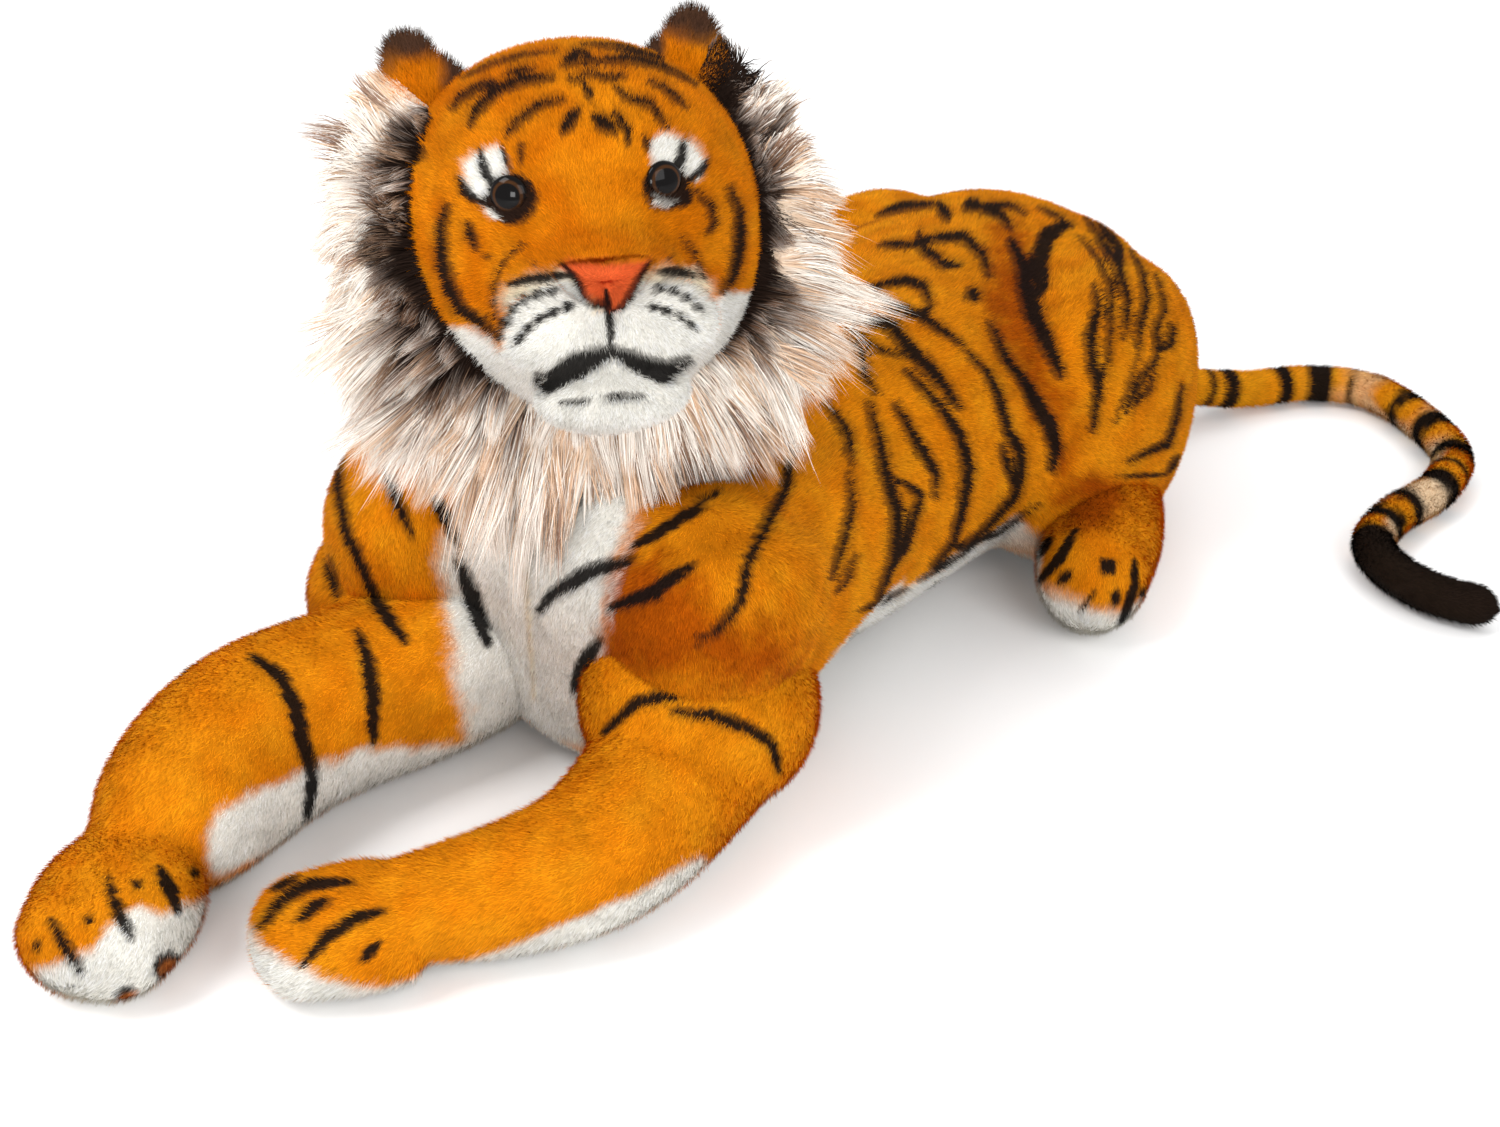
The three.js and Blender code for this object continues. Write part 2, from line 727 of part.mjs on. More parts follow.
// The nose: a soft wedge, wide at the top and narrow below
const noseOutlineShares = { waist: 0.42, low: 0.14, dip: 0.12 };
const noseBevel = 3;
function noseGeometry() {
  const { waist, low, dip } = noseOutlineShares;
  const half = noseWidth / 2 - noseBevel;
  const top = noseHeight / 2 - noseBevel;
  const outline = new THREE.Shape()
    .moveTo(-half, top)
    .quadraticCurveTo(0, top + noseHeight * dip, half, top)
    .quadraticCurveTo(half * waist * 2, 0, noseWidth * low, -top)
    .quadraticCurveTo(0, -top - noseHeight * dip, -noseWidth * low, -top)
    .quadraticCurveTo(-half * waist * 2, 0, -half, top);
  return new THREE.ExtrudeGeometry(outline, {
    depth: snoutLength / 2,
    curveSegments: 4,
    bevelSize: noseBevel,
    bevelThickness: noseBevel,
    bevelSegments: 2,
  }).rotateX(Math.PI / 2).translate(0, snoutFront + snoutLength / 2 - noseDepth, -noseDrop);
}

// The ears: cupped flaps that fold about their root, with a paler lining in front
const earFold = 15;
const earSetback = 16;
const earClearance = 2;
const earShares = [[0, 0.94, 1, 1], [0.5, 1, 0.9, 0.9], [1, 0.66, 0.5, 0.6]];
const liningShares = [[0, 0.62, 1], [0.5, 0.72, 1], [1, 0.42, 1]];

function earFor(side) {
  const x = side * earSpacing / 2;
  const z = skullHalf.z * Math.sqrt(1 - (x / skullHalf.x) ** 2 - (earSetback / skullHalf.y) ** 2);
  const root = place(x, earSetback, z);
  const tall = place(side * Math.sin(THREE.MathUtils.degToRad(earSplay)), 0, Math.cos(THREE.MathUtils.degToRad(earSplay)));
  const half = earThickness / 2;
  const reach = earHeight - earThickness;
  const shape = {
    spine: new THREE.LineCurve3(root, root.clone().addScaledVector(tall, reach)),
    stations: scaledStations(earShares, earWidth / 2, half),
    capStart: half,
    capEnd: earThickness,
    up: ahead,
    sides: smallSides,
    rings: 3,
  };
  const frontOf = root.clone().addScaledVector(ahead, half);
  const lining = {
    spine: new THREE.LineCurve3(
      frontOf.clone().addScaledVector(tall, half + turningGap),
      frontOf.clone().addScaledVector(tall, reach),
    ),
    stations: scaledStations(liningShares, earWidth / 2, liningThickness / 2),
    capStart: liningThickness / 2,
    capEnd: half,
    up: ahead,
    rings: 2,
    sides: smallSides,
  };
  const axis = new THREE.Vector3().crossVectors(tall, ahead).normalize();
  return { shape, lining, root, axis };
}

const ears = { left: earFor(sides.left), right: earFor(sides.right) };

// What the skull gives up to an ear: the ear's grown form, opened out to its limits at the front
// and back
function earSpace({ shape }) {
  const spread = tangentOf(earFold);
  const opening = (earHeight - earThickness) * spread;
  const back = (earThickness / 2) * Math.hypot(1, spread);
  const front = back + (liningThickness / 2) * Math.hypot(1, spread);
  const opened = [0, 1].map((share) => [share, earWidth / 2, front + share * opening, back + share * opening]);
  const capStart = shape.capStart - earClearance + seatGap;
  return formSolid({ ...shape, capStart, stations: opened }, earClearance);
}

// The ruff: long fur round the cheeks and throat, as three arcs of one ring behind the face. The
// ring leans forward at the bottom. Angles are in degrees from the tiger's left, anticlockwise.
const ruffArcs = { left_ruff: [46, -34], throat_ruff: [-38, -142], right_ruff: [214, 134] };
const ruffSamples = 6;
const ruffCapShare = 0.3;
const ruffShares = [[0, 0.8, 0.8], [0.3, 1, 1], [0.7, 1, 1], [1, 0.8, 0.8]];

function ruffForm([from, to]) {
  const ring = ruffRadius - ruffBand / 2;
  const points = [];
  for (let i = 0; i <= ruffSamples; i++) {
    const angle = THREE.MathUtils.degToRad(THREE.MathUtils.lerp(from, to, i / ruffSamples));
    const low = (1 - Math.sin(angle)) / 2;
    points.push(place(
      ring * Math.cos(angle),
      THREE.MathUtils.lerp(ruffSetback, -ruffAdvance, low),
      ring * Math.sin(angle),
    ));
  }
  return {
    spine: smoothCurve(points),
    stations: scaledStations(ruffShares, ruffBand / 2, ruffDepth / 2),
    capStart: ruffBand * ruffCapShare,
    capEnd: ruffBand * ruffCapShare,
    up: ahead,
    sides: smallSides,
    rings: 7,
  };
}

// The eyes: a plastic dome with a ridged shank through the face, held by a locking washer inside.
// A profile point is [radius, height], with the face's surface at height 0.
const latheSegments = 14;
const domePoints = 5;
const eyeGap = 0.3;
const lathe = (profile) => new THREE.LatheGeometry(
  profile.map(([radius, height]) => new THREE.Vector2(radius, height)),
  latheSegments,
);

function domeProfile(radius, bulge) {
  const profile = [];
  for (let i = 0; i <= domePoints; i++) {
    const angle = (i / domePoints) * (Math.PI / 2);
    profile.push([i === domePoints ? 0 : radius * Math.cos(angle), bulge * Math.sin(angle)]);
  }
  return profile;
}

const eyeRadius = eyeDiameter / 2;
const shankRadius = shankDiameter / 2;
const washerRadius = washerDiameter / 2;
const eyeSink = 2;

const eyeGeometry = () => lathe([
  [0, -shankLength], [shankRadius, -shankLength], [shankRadius, -eyeSink], [eyeRadius, -eyeSink],
  ...domeProfile(eyeRadius, eyeBulge),
]);

const washerGeometry = () => lathe([
  [shankRadius + eyeGap, -washerDepth - washerThickness], [washerRadius, -washerDepth - washerThickness],
  [washerRadius, -washerDepth], [shankRadius + eyeGap, -washerDepth],
  [shankRadius + eyeGap, -washerDepth - washerThickness],
]);

const eyeSeatGeometry = () => lathe([
  [0, -shankLength - eyeGap], [shankRadius + eyeGap, -shankLength - eyeGap],
  [shankRadius + eyeGap, -washerDepth - washerThickness - eyeGap],
  [washerRadius + eyeGap, -washerDepth - washerThickness - eyeGap],
  [washerRadius + eyeGap, -washerDepth + eyeGap], [shankRadius + eyeGap, -washerDepth + eyeGap],
  [shankRadius + eyeGap, -eyeSink - eyeGap], [eyeRadius + eyeGap, -eyeSink - eyeGap],
  [eyeRadius + eyeGap, eyeRadius + eyeBulge], [0, eyeRadius + eyeBulge],
]);

function atEye(geometry, side) {
  const x = side * eyeSpacing / 2;
  const splay = THREE.MathUtils.degToRad(side * eyeSplay);
  const gaze = place(Math.sin(splay), -Math.cos(splay), 0);
  const turn = new THREE.Quaternion().setFromUnitVectors(place(0, 1, 0), gaze);
  return solidOf(geometry.applyQuaternion(turn).translate(x, faceY(x, eyeRise), eyeRise));
}

function addEyes() {
  for (const [name, side] of Object.entries(sides)) {
    addPiece(`${name}_eye`, atEye(eyeGeometry(), side), colours.brown, head, 0.08);
    addPiece(`${name}_eye_washer`, atEye(washerGeometry(), side), colours.plastic, head, 0.5);
  }
}

function addEars(skullSpace) {
  for (const [name, { shape, lining, root, axis }] of Object.entries(ears)) {
    addPiece(`${name}_ear`, cutBy(formSolid(shape), formSolid(lining, sewnGap)), colours.orange, head);
    addPiece(`${name}_ear_lining`, cutBy(formSolid(lining), skullSpace), colours.cream, head);
    addPivot(`${name}_ear_fold`, root.clone().applyMatrix4(head.matrix), axis.clone().transformDirection(head.matrix));
  }
}

// Adds the head: each piece is cut by the larger ones that it is sewn to
function addHead() {
  const localUp = up.clone().transformDirection(intoHead);
  const localNeckSeat = ballSeat(neckCentre.clone().applyMatrix4(intoHead), neckDiameter / 2, localUp);
  const earSpaces = Object.values(ears).map(earSpace);
  const eyeSpaces = Object.values(sides).map((side) => atEye(eyeSeatGeometry(), side));
  const skull = cutBy(formSolid(skullForm), localNeckSeat, earSpaces, eyeSpaces);
  addPiece('skull', skull, colours.orange, head);

  const sewn = [formSolid(skullForm, sewnGap), ...eyeSpaces];
  const addSewn = (name, geometry, grown, colour) => {
    addPiece(name, cutBy(geometry, sewn), colour, head);
    sewn.push(grown);
  };
  const addForm = (name, shape, colour) => addSewn(name, formSolid(shape), formSolid(shape, sewnGap), colour);
  addForm('snout', snoutForm, colours.orange);
  addForm('left_muzzle_pad', padForm(sides.left), colours.cream);
  addForm('right_muzzle_pad', padForm(sides.right), colours.cream);
  addForm('chin', chinForm, colours.cream);
  addPiece('nose', cutBy(solidOf(noseGeometry()), sewn), colours.nose, head);

  const around = [...sewn, ...earSpaces, localNeckSeat];
  for (const [name, arc] of Object.entries(ruffArcs)) {
    const shape = ruffForm(arc);
    addPiece(name, cutBy(formSolid(shape), around), colours.ruff, head);
    around.push(formSolid(shape, sewnGap));
  }
  addEars(sewn[0]);
  addEyes();
  addPivot('head_nod', neckCentre, place(-1, 0, 0).transformDirection(head.matrix));
}

addTrunk();
addFrontLegs();
addHindFeet();
addTail();
addHead();

export default tiger;
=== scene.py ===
"""Dresses a large plush tiger that lies with its head turned and its tail curled.

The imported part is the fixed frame. Every stuffed piece gets a sewn skin that follows the form it
replaces, and a pile of fine fur blades that carries the airbrushed stripes. Lengths in the tables
are millimetres and marks are places in a 1500 by 1127 picture taken by the scene's own camera.
"""

import logging
import math
from dataclasses import dataclass, field
from enum import Enum
from typing import Callable, Sequence

import bpy
import numpy as np
from mathutils import Matrix


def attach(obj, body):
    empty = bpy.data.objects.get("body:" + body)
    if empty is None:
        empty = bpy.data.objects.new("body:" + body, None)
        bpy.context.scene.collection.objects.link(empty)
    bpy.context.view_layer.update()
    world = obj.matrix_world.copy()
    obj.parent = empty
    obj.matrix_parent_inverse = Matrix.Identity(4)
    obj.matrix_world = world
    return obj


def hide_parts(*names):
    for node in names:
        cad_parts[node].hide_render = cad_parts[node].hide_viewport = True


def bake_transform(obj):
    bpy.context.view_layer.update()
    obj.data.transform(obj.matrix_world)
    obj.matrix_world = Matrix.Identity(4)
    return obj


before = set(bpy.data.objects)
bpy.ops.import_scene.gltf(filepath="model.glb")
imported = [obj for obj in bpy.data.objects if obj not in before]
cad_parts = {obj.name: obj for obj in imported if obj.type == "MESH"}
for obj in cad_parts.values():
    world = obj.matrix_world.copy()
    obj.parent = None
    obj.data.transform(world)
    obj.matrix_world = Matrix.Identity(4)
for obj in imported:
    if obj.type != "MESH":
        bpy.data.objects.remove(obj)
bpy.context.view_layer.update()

log = logging.getLogger("plush_tiger")
Array = np.ndarray
MM = 0.001
UP = np.array([0.0, 0.0, 1.0])
AHEAD = np.array([0.0, -1.0, 0.0])
Field = Callable[[Array, Array], Array]
PICTURE_SIZE = (1500, 1127)
FLOOR_GAP = 0.0004
SENSOR = 36.0
HASH_STEPS = np.array([374761393, 668265263, 1442695041])
HASH_SEED, HASH_SCALE, HASH_BITS = 97531, 1274126177, 0xFFFFFFFF


class Side(Enum):
    """The tiger's own sides, with the sign of X on each."""

    LEFT = 1
    RIGHT = -1

    @property
    def word(self) -> str:
        """The side's name in a piece's name."""
        return self.name.lower()


class Slot(Enum):
    """The material slots of the record."""

    ORANGE = "orange_fur"
    BLACK = "black_fur"
    RUFF = "ruff_fur"
    NOSE = "nose_fabric"
    EYE = "eye"
    WASHER = "washer"


def linear(red: int, green: int, blue: int) -> Array:
    """Turns a display colour of 0 to 255 into linear light.

    Args:
        red, green, blue: the display values.

    Returns:
        Three linear values.
    """
    share = np.array([red, green, blue]) / 255.0
    return np.where(share <= 0.04045, share / 12.92, ((share + 0.055) / 1.055) ** 2.4)


class Dye(Enum):
    """The colours of the cloth, in linear light."""

    ORANGE = tuple(linear(218, 120, 4))
    # DEEP is the cloth's deeper tone, and is also painted shade in creases and under the head.
    DEEP = tuple(linear(170, 78, 2))
    GOLD = tuple(linear(240, 158, 22))
    WHITE = tuple(linear(242, 238, 228))
    CREAM = tuple(linear(236, 214, 182))
    BLACK = tuple(linear(22, 19, 18))
    SMOKE = tuple(linear(74, 58, 50))
    PAD = tuple(linear(196, 112, 52))
    RED = tuple(linear(238, 100, 50))
    PUPIL = tuple(linear(8, 6, 6))
    IRIS = tuple(linear(56, 32, 12))
    UMBER = tuple(linear(30, 20, 15))
    CHESTNUT = tuple(linear(118, 84, 62))
    TAUPE = tuple(linear(146, 116, 98))
    TAN = tuple(linear(218, 184, 154))
    SAND = tuple(linear(226, 200, 172))
    LINEN = tuple(linear(232, 208, 184))
    IVORY = tuple(linear(244, 236, 226))

    @property
    def rgb(self) -> Array:
        """The colour as an array."""
        return np.array(self.value)


def smoothstep(low: float, high: float, value: Array) -> Array:
    """Rises from 0 at low to 1 at high along the curve 3t^2 - 2t^3."""
    t = np.clip((value - low) / (high - low), 0.0, 1.0)
    return t * t * (3.0 - 2.0 * t)


def unit(vectors: Array) -> Array:
    """Scales each vector to length 1."""
    return vectors / np.maximum(np.linalg.norm(vectors, axis=-1, keepdims=True), 1e-9)


def mixed(first: Array, second: Array, share: Array) -> Array:
    """Mixes two colours, or two lists of colours, by a share for each place."""
    return first + (second - first) * share[:, None]


def lattice_value(cells: Array, seed: int) -> Array:
    """Gives each whole lattice place a number from 0 to 1, by hashing its three indices.

    Args:
        cells: whole numbers, shape (..., 3).
        seed: changes the whole pattern.

    Returns:
        Numbers of shape (...).
    """
    bits = ((cells * HASH_STEPS).sum(-1) + seed * HASH_SEED) & HASH_BITS
    bits = ((bits ^ (bits >> 13)) * HASH_SCALE) & HASH_BITS
    return ((bits ^ (bits >> 16)) & 0xFFFF) / 0xFFFF


def soft_noise(points: Array, cell: float, seed: int = 0) -> Array:
    """Smooth noise from -1 to 1: lattice values joined by smooth trilinear weights.

    Args:
        points: places, shape (n, 3).
        cell: the size of one lattice cell, in the places' unit.
        seed: changes the whole pattern.

    Returns:
        One number for each place.
    """
    places = points / cell
    base = np.floor(places).astype(np.int64)
    part = places - base
    weight = part * part * (3.0 - 2.0 * part)
    total = np.zeros(len(points))
    for corner in np.ndindex(2, 2, 2):
        step = np.array(corner)
        share = np.prod(np.where(step == 1, weight, 1.0 - weight), axis=1)
        total += share * lattice_value(base + step, seed)
    return 2.0 * total - 1.0


class SmoothCurve:
    """A centripetal Catmull-Rom curve, read by its share of arc length."""

    def __init__(self, points: Sequence[Sequence[float]], steps: int = 60) -> None:
        """Samples the curve closely.

        Each span is the cubic whose end slopes come from the neighbouring points at root-distance
        spacing, and the ends are continued straight on.

        Args:
            points: the places that the curve goes through.
            steps: samples on each span.
        """
        given = np.asarray(points, float)
        ends = np.vstack([2 * given[0] - given[1], given, 2 * given[-1] - given[-2]])
        gaps = np.sqrt(np.linalg.norm(np.diff(ends, axis=0), axis=1))
        samples = []
        for i in range(len(given) - 1):
            before, start, end, after = ends[i : i + 4]
            wide = gaps[i : i + 3]
            first = (start - before) / wide[0] - (end - before) / (wide[0] + wide[1]) + (end - start) / wide[1]
            last = (end - start) / wide[1] - (after - start) / (wide[1] + wide[2]) + (after - end) / wide[2]
            first, last = first * wide[1], last * wide[1]
            t = np.linspace(0, 1, steps, endpoint=i == len(given) - 2)[:, None]
            bend = -3 * start + 3 * end - 2 * first - last
            twist = 2 * start - 2 * end + first + last
            samples.append(start + first * t + bend * t**2 + twist * t**3)
        self.samples = np.vstack(samples)
        run = np.linalg.norm(np.diff(self.samples, axis=0), axis=1)
        self.reach = np.concatenate([[0.0], np.cumsum(run)])
        self.length = float(self.reach[-1])

    def at(self, share: Array) -> Array:
        """Places at shares of the length."""
        along = np.clip(share, 0, 1) * self.length
        return np.stack([np.interp(along, self.reach, self.samples[:, k]) for k in range(3)], axis=-1)

    def tangent(self, share: Array) -> Array:
        """Directions at shares of the length, from two places close by."""
        step = 0.004
        return unit(self.at(np.minimum(share + step, 1)) - self.at(np.maximum(share - step, 0)))

    def nearest(self, points: Array) -> Array:
        """The share of the length that lies nearest to each place.

        Args:
            points: the places.

        Returns:
            A share for each place.
        """
        coarse = np.linspace(0, 1, 90)
        places = self.at(coarse)
        parts = np.array_split(points, 1 + len(points) // 40000)
        return np.concatenate([coarse[((part[:, None] - places) ** 2).sum(-1).argmin(1)] for part in parts])


def table_value(stations: Array, column: int, share: Array) -> Array:
    """Reads a column of a table of stations smoothly, by Hermite spans with central slopes.

    Args:
        stations: rows of [share, values...], with rising shares.
        column: which value to read.
        share: where to read it.

    Returns:
        One value for each share.
    """
    place, value = stations[:, 0], stations[:, column]
    last = len(place) - 1
    lower, upper = np.maximum(np.arange(last + 1) - 1, 0), np.minimum(np.arange(last + 1) + 1, last)
    slope = (value[upper] - value[lower]) / np.maximum(place[upper] - place[lower], 1e-9)
    share = np.clip(share, place[0], place[-1])
    i = np.clip(np.searchsorted(place, share, side="right") - 1, 0, last - 1)
    span = place[i + 1] - place[i]
    t = (share - place[i]) / span
    return (
        (1 + 2 * t) * (1 - t) ** 2 * value[i]
        + t * (1 - t) ** 2 * span * slope[i]
        + t * t * (3 - 2 * t) * value[i + 1]
        + t * t * (t - 1) * span * slope[i + 1]
    )


def closed_faces(rings: int, around: int, flipped: bool = False) -> list[tuple[int, ...]]:
    """Joins rings of places, and the two poles that follow them, into a closed shell.

    Args:
        rings: how many rings there are, one after another.
        around: places on each ring.
        flipped: turns every face over.

    Returns:
        The places of each face: four between two rings, three at a pole.
    """
    pairs = list(zip(range(around), [*range(1, around), 0]))
    last, pole = (rings - 1) * around, rings * around
    faces = [(low + a, low + b, low + around + b, low + around + a) for low in range(0, last, around) for a, b in pairs]
    faces += [(pole, b, a) for a, b in pairs]
    faces += [(pole + 1, last + a, last + b) for a, b in pairs]
    return [face[:1] + face[:0:-1] for face in faces] if flipped else faces


@dataclass
class StuffedForm:
    """Rounded sections strung on a smooth spine, with a rounded cap past each end."""

    spine: SmoothCurve
    stations: Array
    cap_start: float
    cap_end: float
    up: Array = field(default_factory=lambda: UP)
    roundness: float = 2.0
    roundness_below: float | None = None
    around: int = 64
    inset: float = 3.0
    ring_pitch: float = 9.0
    cap_rings: int = 8

    def surface(self) -> tuple[Array, list[tuple[int, ...]]]:
        """Works out the closed surface in the row frame, in millimetres.

        A section is the superellipse |x/w|^n + |z/h|^n = 1, with its own height above and below the
        spine. Caps shrink the sections along a quarter of an ellipse.

        Returns:
            The places and the faces, which point outwards.
        """
        length = self.spine.length
        cap_start, cap_end = self.cap_start - self.inset, self.cap_end - self.inset
        quarter = np.linspace(0, math.pi / 2, self.cap_rings + 1)[1:]
        spans = max(int(length / self.ring_pitch), 2)
        middle = np.arange(1, spans) / spans
        along = np.concatenate([
            -cap_start * np.cos(quarter), middle * length, length + cap_end * np.cos(quarter[::-1])
        ])
        full = np.concatenate([np.sin(quarter), np.ones(len(middle)), np.sin(quarter[::-1])])
        centres, across, rise, share = self.frames(along)
        angle = np.linspace(0, 2 * math.pi, self.around, endpoint=False)
        upper = np.sin(angle) >= 0
        bend = np.where(upper, 2 / self.roundness, 2 / (self.roundness_below or self.roundness))
        side = np.sign(np.cos(angle)) * np.abs(np.cos(angle)) ** bend
        tall = np.sign(np.sin(angle)) * np.abs(np.sin(angle)) ** bend
        width, above, below = ((table_value(self.stations, c, share) - self.inset) * full for c in (1, 2, 3))
        height = np.where(upper[None], above[:, None], below[:, None])
        rings = (
            centres[:, None]
            + across[:, None] * (width[:, None] * side)[..., None]
            + rise[:, None] * (height * tall)[..., None]
        )
        poles = self.frames(np.array([-cap_start, length + cap_end]))[0]
        return np.vstack([rings.reshape(-1, 3), poles]), closed_faces(len(along), self.around)

    def frames(self, along: Array) -> tuple[Array, Array, Array, Array]:
        """The section frames at places along the spine, which may lie past its ends.

        Args:
            along: distances from the spine's start.

        Returns:
            Centres, sideways directions, upward directions and shares of the spine.
        """
        length = self.spine.length
        share = np.clip(along / length, 0, 1)
        tangent = self.spine.tangent(share)
        across = unit(np.cross(np.broadcast_to(self.up, tangent.shape), tangent))
        rise = np.cross(tangent, across)
        return self.spine.at(share) + tangent * (along - share * length)[:, None], across, rise, share


def scaled(shares: Sequence[Sequence[float]], width: float, above: float, below: float | None = None) -> Array:
    """Turns a table of shares of a form's half sizes into stations."""
    lower = above if below is None else below
    return np.array([[s[0], s[1] * width, s[2] * above, (s[3] if len(s) > 3 else s[2]) * lower] for s in shares])


def round_form(centre: Sequence[float], half: Sequence[float], **options: object) -> StuffedForm:
    """An ellipsoid, or a squarer one by its roundness, as a form on a very short spine along Y.

    Args:
        centre: its middle, in millimetres.
        half: its half sizes along X, Y and Z.
        options: any other field of the form.

    Returns:
        The form.
    """
    centre = np.asarray(centre, float)
    reach = half[1] * 0.01
    return StuffedForm(
        spine=SmoothCurve([centre - AHEAD * reach, centre + AHEAD * reach]),
        stations=np.array([[0, half[0], half[2], half[2]], [1, half[0], half[2], half[2]]], float),
        cap_start=half[1] - reach,
        cap_end=half[1] - reach,
        **options,
    )


def stood(right: Array, upward: Array, back: Array, place: Sequence[float]) -> Matrix:
    """The matrix of a camera or a lamp that looks against back from a place.

    Args:
        right, upward, back: its three directions.
        place: where it stands, in metres.

    Returns:
        The matrix.
    """
    turned = np.eye(4)
    turned[:3] = np.stack([right, upward, back, place], axis=1)
    return Matrix(turned.tolist())


@dataclass
class Viewpoint:
    """The camera: where it stands, in metres, how it is turned, and its lens."""

    place: tuple[float, float, float] = (1.016, -1.228, 0.995)
    azimuth: float = 40.0
    elevation: float = 30.0
    focal: float = 2151.0

    def axes(self) -> tuple[Array, Array, Array]:
        """The camera's right, upward and backward directions.

        Returns:
            Three directions of length 1.
        """
        turn, lift = math.radians(self.azimuth), math.radians(self.elevation)
        back = np.array([math.sin(turn) * math.cos(lift), -math.cos(turn) * math.cos(lift), math.sin(lift)])
        right = np.array([math.cos(turn), math.sin(turn), 0.0])
        return right, np.cross(back, right), back

    def project(self, points: Array) -> Array:
        """Where places in metres fall in the picture, in pixels from its top left corner.

        Args:
            points: places in metres.

        Returns:
            Places in the picture, shape (n, 2).
        """
        right, upward, back = self.axes()
        offset = points - np.array(self.place)
        depth = -(offset @ back)
        across = PICTURE_SIZE[0] / 2 + self.focal * (offset @ right) / depth
        down = PICTURE_SIZE[1] / 2 - self.focal * (offset @ upward) / depth
        return np.stack([across, down], axis=1)

    def facing(self, points: Array, normals: Array) -> Array:
        """The cosine between each normal and the way to the camera."""
        return (unit(np.array(self.place) - points) * normals).sum(1)

    def make(self) -> None:
        """Adds the camera and makes it the scene's."""
        right, upward, back = self.axes()
        data = bpy.data.cameras.new("camera")
        data.sensor_width = SENSOR
        data.lens = SENSOR * self.focal / PICTURE_SIZE[0]
        camera = bpy.data.objects.new("camera", data)
        bpy.context.scene.collection.objects.link(camera)
        camera.matrix_world = stood(right, upward, back, self.place)
        bpy.context.scene.camera = camera


VIEW = Viewpoint()


@dataclass(frozen=True)
class Marks:
    """Airbrushed strokes. Each is (width, x, y, x, y, ...) in the picture's pixels."""

    strokes: tuple[tuple[float, ...], ...]
    softness: float = 1.0
    spread: float = 1.22
    extra: float = 3.0

    def mask(self, pixels: Array, wobble: Array) -> Array:
        """How strongly each place is covered by the strokes.

        The distance to each stroke's segments is compared with its half width, which tapers
        towards both ends, and noise ruffles its edge.

        Args:
            pixels: places in the picture, shape (n, 2).
            wobble: noise for each place, from -1 to 1.

        Returns:
            A share from 0 to 1 for each place.
        """
        cover = np.zeros(len(pixels))
        for stroke in self.strokes:
            width, line = self.spread * stroke[0] + self.extra, np.array(stroke[1:]).reshape(-1, 2)
            near = ((pixels > line.min(0) - width) & (pixels < line.max(0) + width)).all(1)
            if not near.any():
                continue
            cover[near] = np.maximum(cover[near], self.cover(pixels[near], line, width, wobble[near]))
        return cover

    def cover(self, pixels: Array, line: Array, width: float, wobble: Array) -> Array:
        """One stroke's cover of the places near it.

        Args:
            pixels: places in the picture.
            line: the stroke's places.
            width: the stroke's full width.
            wobble: noise for each place, from -1 to 1.

        Returns:
            A share from 0 to 1 for each place.
        """
        if len(line) == 1:
            apart = np.linalg.norm(pixels - line[0], axis=1)
            return 1 - smoothstep(width / 2 - self.softness, width / 2 + self.softness, apart + wobble)
        run = np.linalg.norm(np.diff(line, axis=0), axis=1)
        total, done = run.sum(), 0.0
        best = np.full(len(pixels), 1e9)
        for start, end, length in zip(line[:-1], line[1:], run):
            way = end - start
            t = np.clip(((pixels - start) @ way) / max(length**2, 1e-6), 0, 1)
            apart = np.linalg.norm(pixels - start - t[:, None] * way, axis=1)
            share = (done + t * length) / total
            taper = 0.32 + 0.76 * np.clip(np.sin(math.pi * (0.05 + 0.9 * share)), 0, 1) ** 0.7
            best = np.minimum(best, apart - taper * width / 2)
            done += length
        return 1 - smoothstep(-self.softness, self.softness, best + wobble * 0.9)


@dataclass(frozen=True)
class Patch:
    """A dyed area with a soft edge. Its closed outline is (x, y, x, y, ...) in the picture's pixels."""

    outline: tuple[float, ...]
    dye: Dye
    softness: float = 9.0

    def mask(self, pixels: Array, wobble: Array) -> Array:
        """How far inside the outline each place lies, as a share from 0 to 1.

        Args:
            pixels: places in the picture.
            wobble: noise for each place, from -1 to 1.

        Returns:
            A share for each place: half of it on the outline.
        """
        corners = np.array(self.outline, float).reshape(-1, 2)
        apart = np.full(len(pixels), 1e9)
        inside = np.zeros(len(pixels), bool)
        for start, end in zip(corners, np.roll(corners, -1, axis=0)):
            way = end - start
            t = np.clip(((pixels - start) @ way) / max(way @ way, 1e-6), 0, 1)
            apart = np.minimum(apart, np.linalg.norm(pixels - start - t[:, None] * way, axis=1))
            crosses = (start[1] > pixels[:, 1]) != (end[1] > pixels[:, 1])
            slope = (end[0] - start[0]) / (end[1] - start[1] if end[1] != start[1] else 1e-9)
            inside ^= crosses & (pixels[:, 0] < start[0] + slope * (pixels[:, 1] - start[1]))
        signed = np.where(inside, apart, -apart)
        return smoothstep(-self.softness, self.softness, signed + wobble * self.softness)


def no_stripes(points: Array, _normals: Array) -> Array:
    """Leaves the unseen side plain."""
    return np.zeros(len(points))


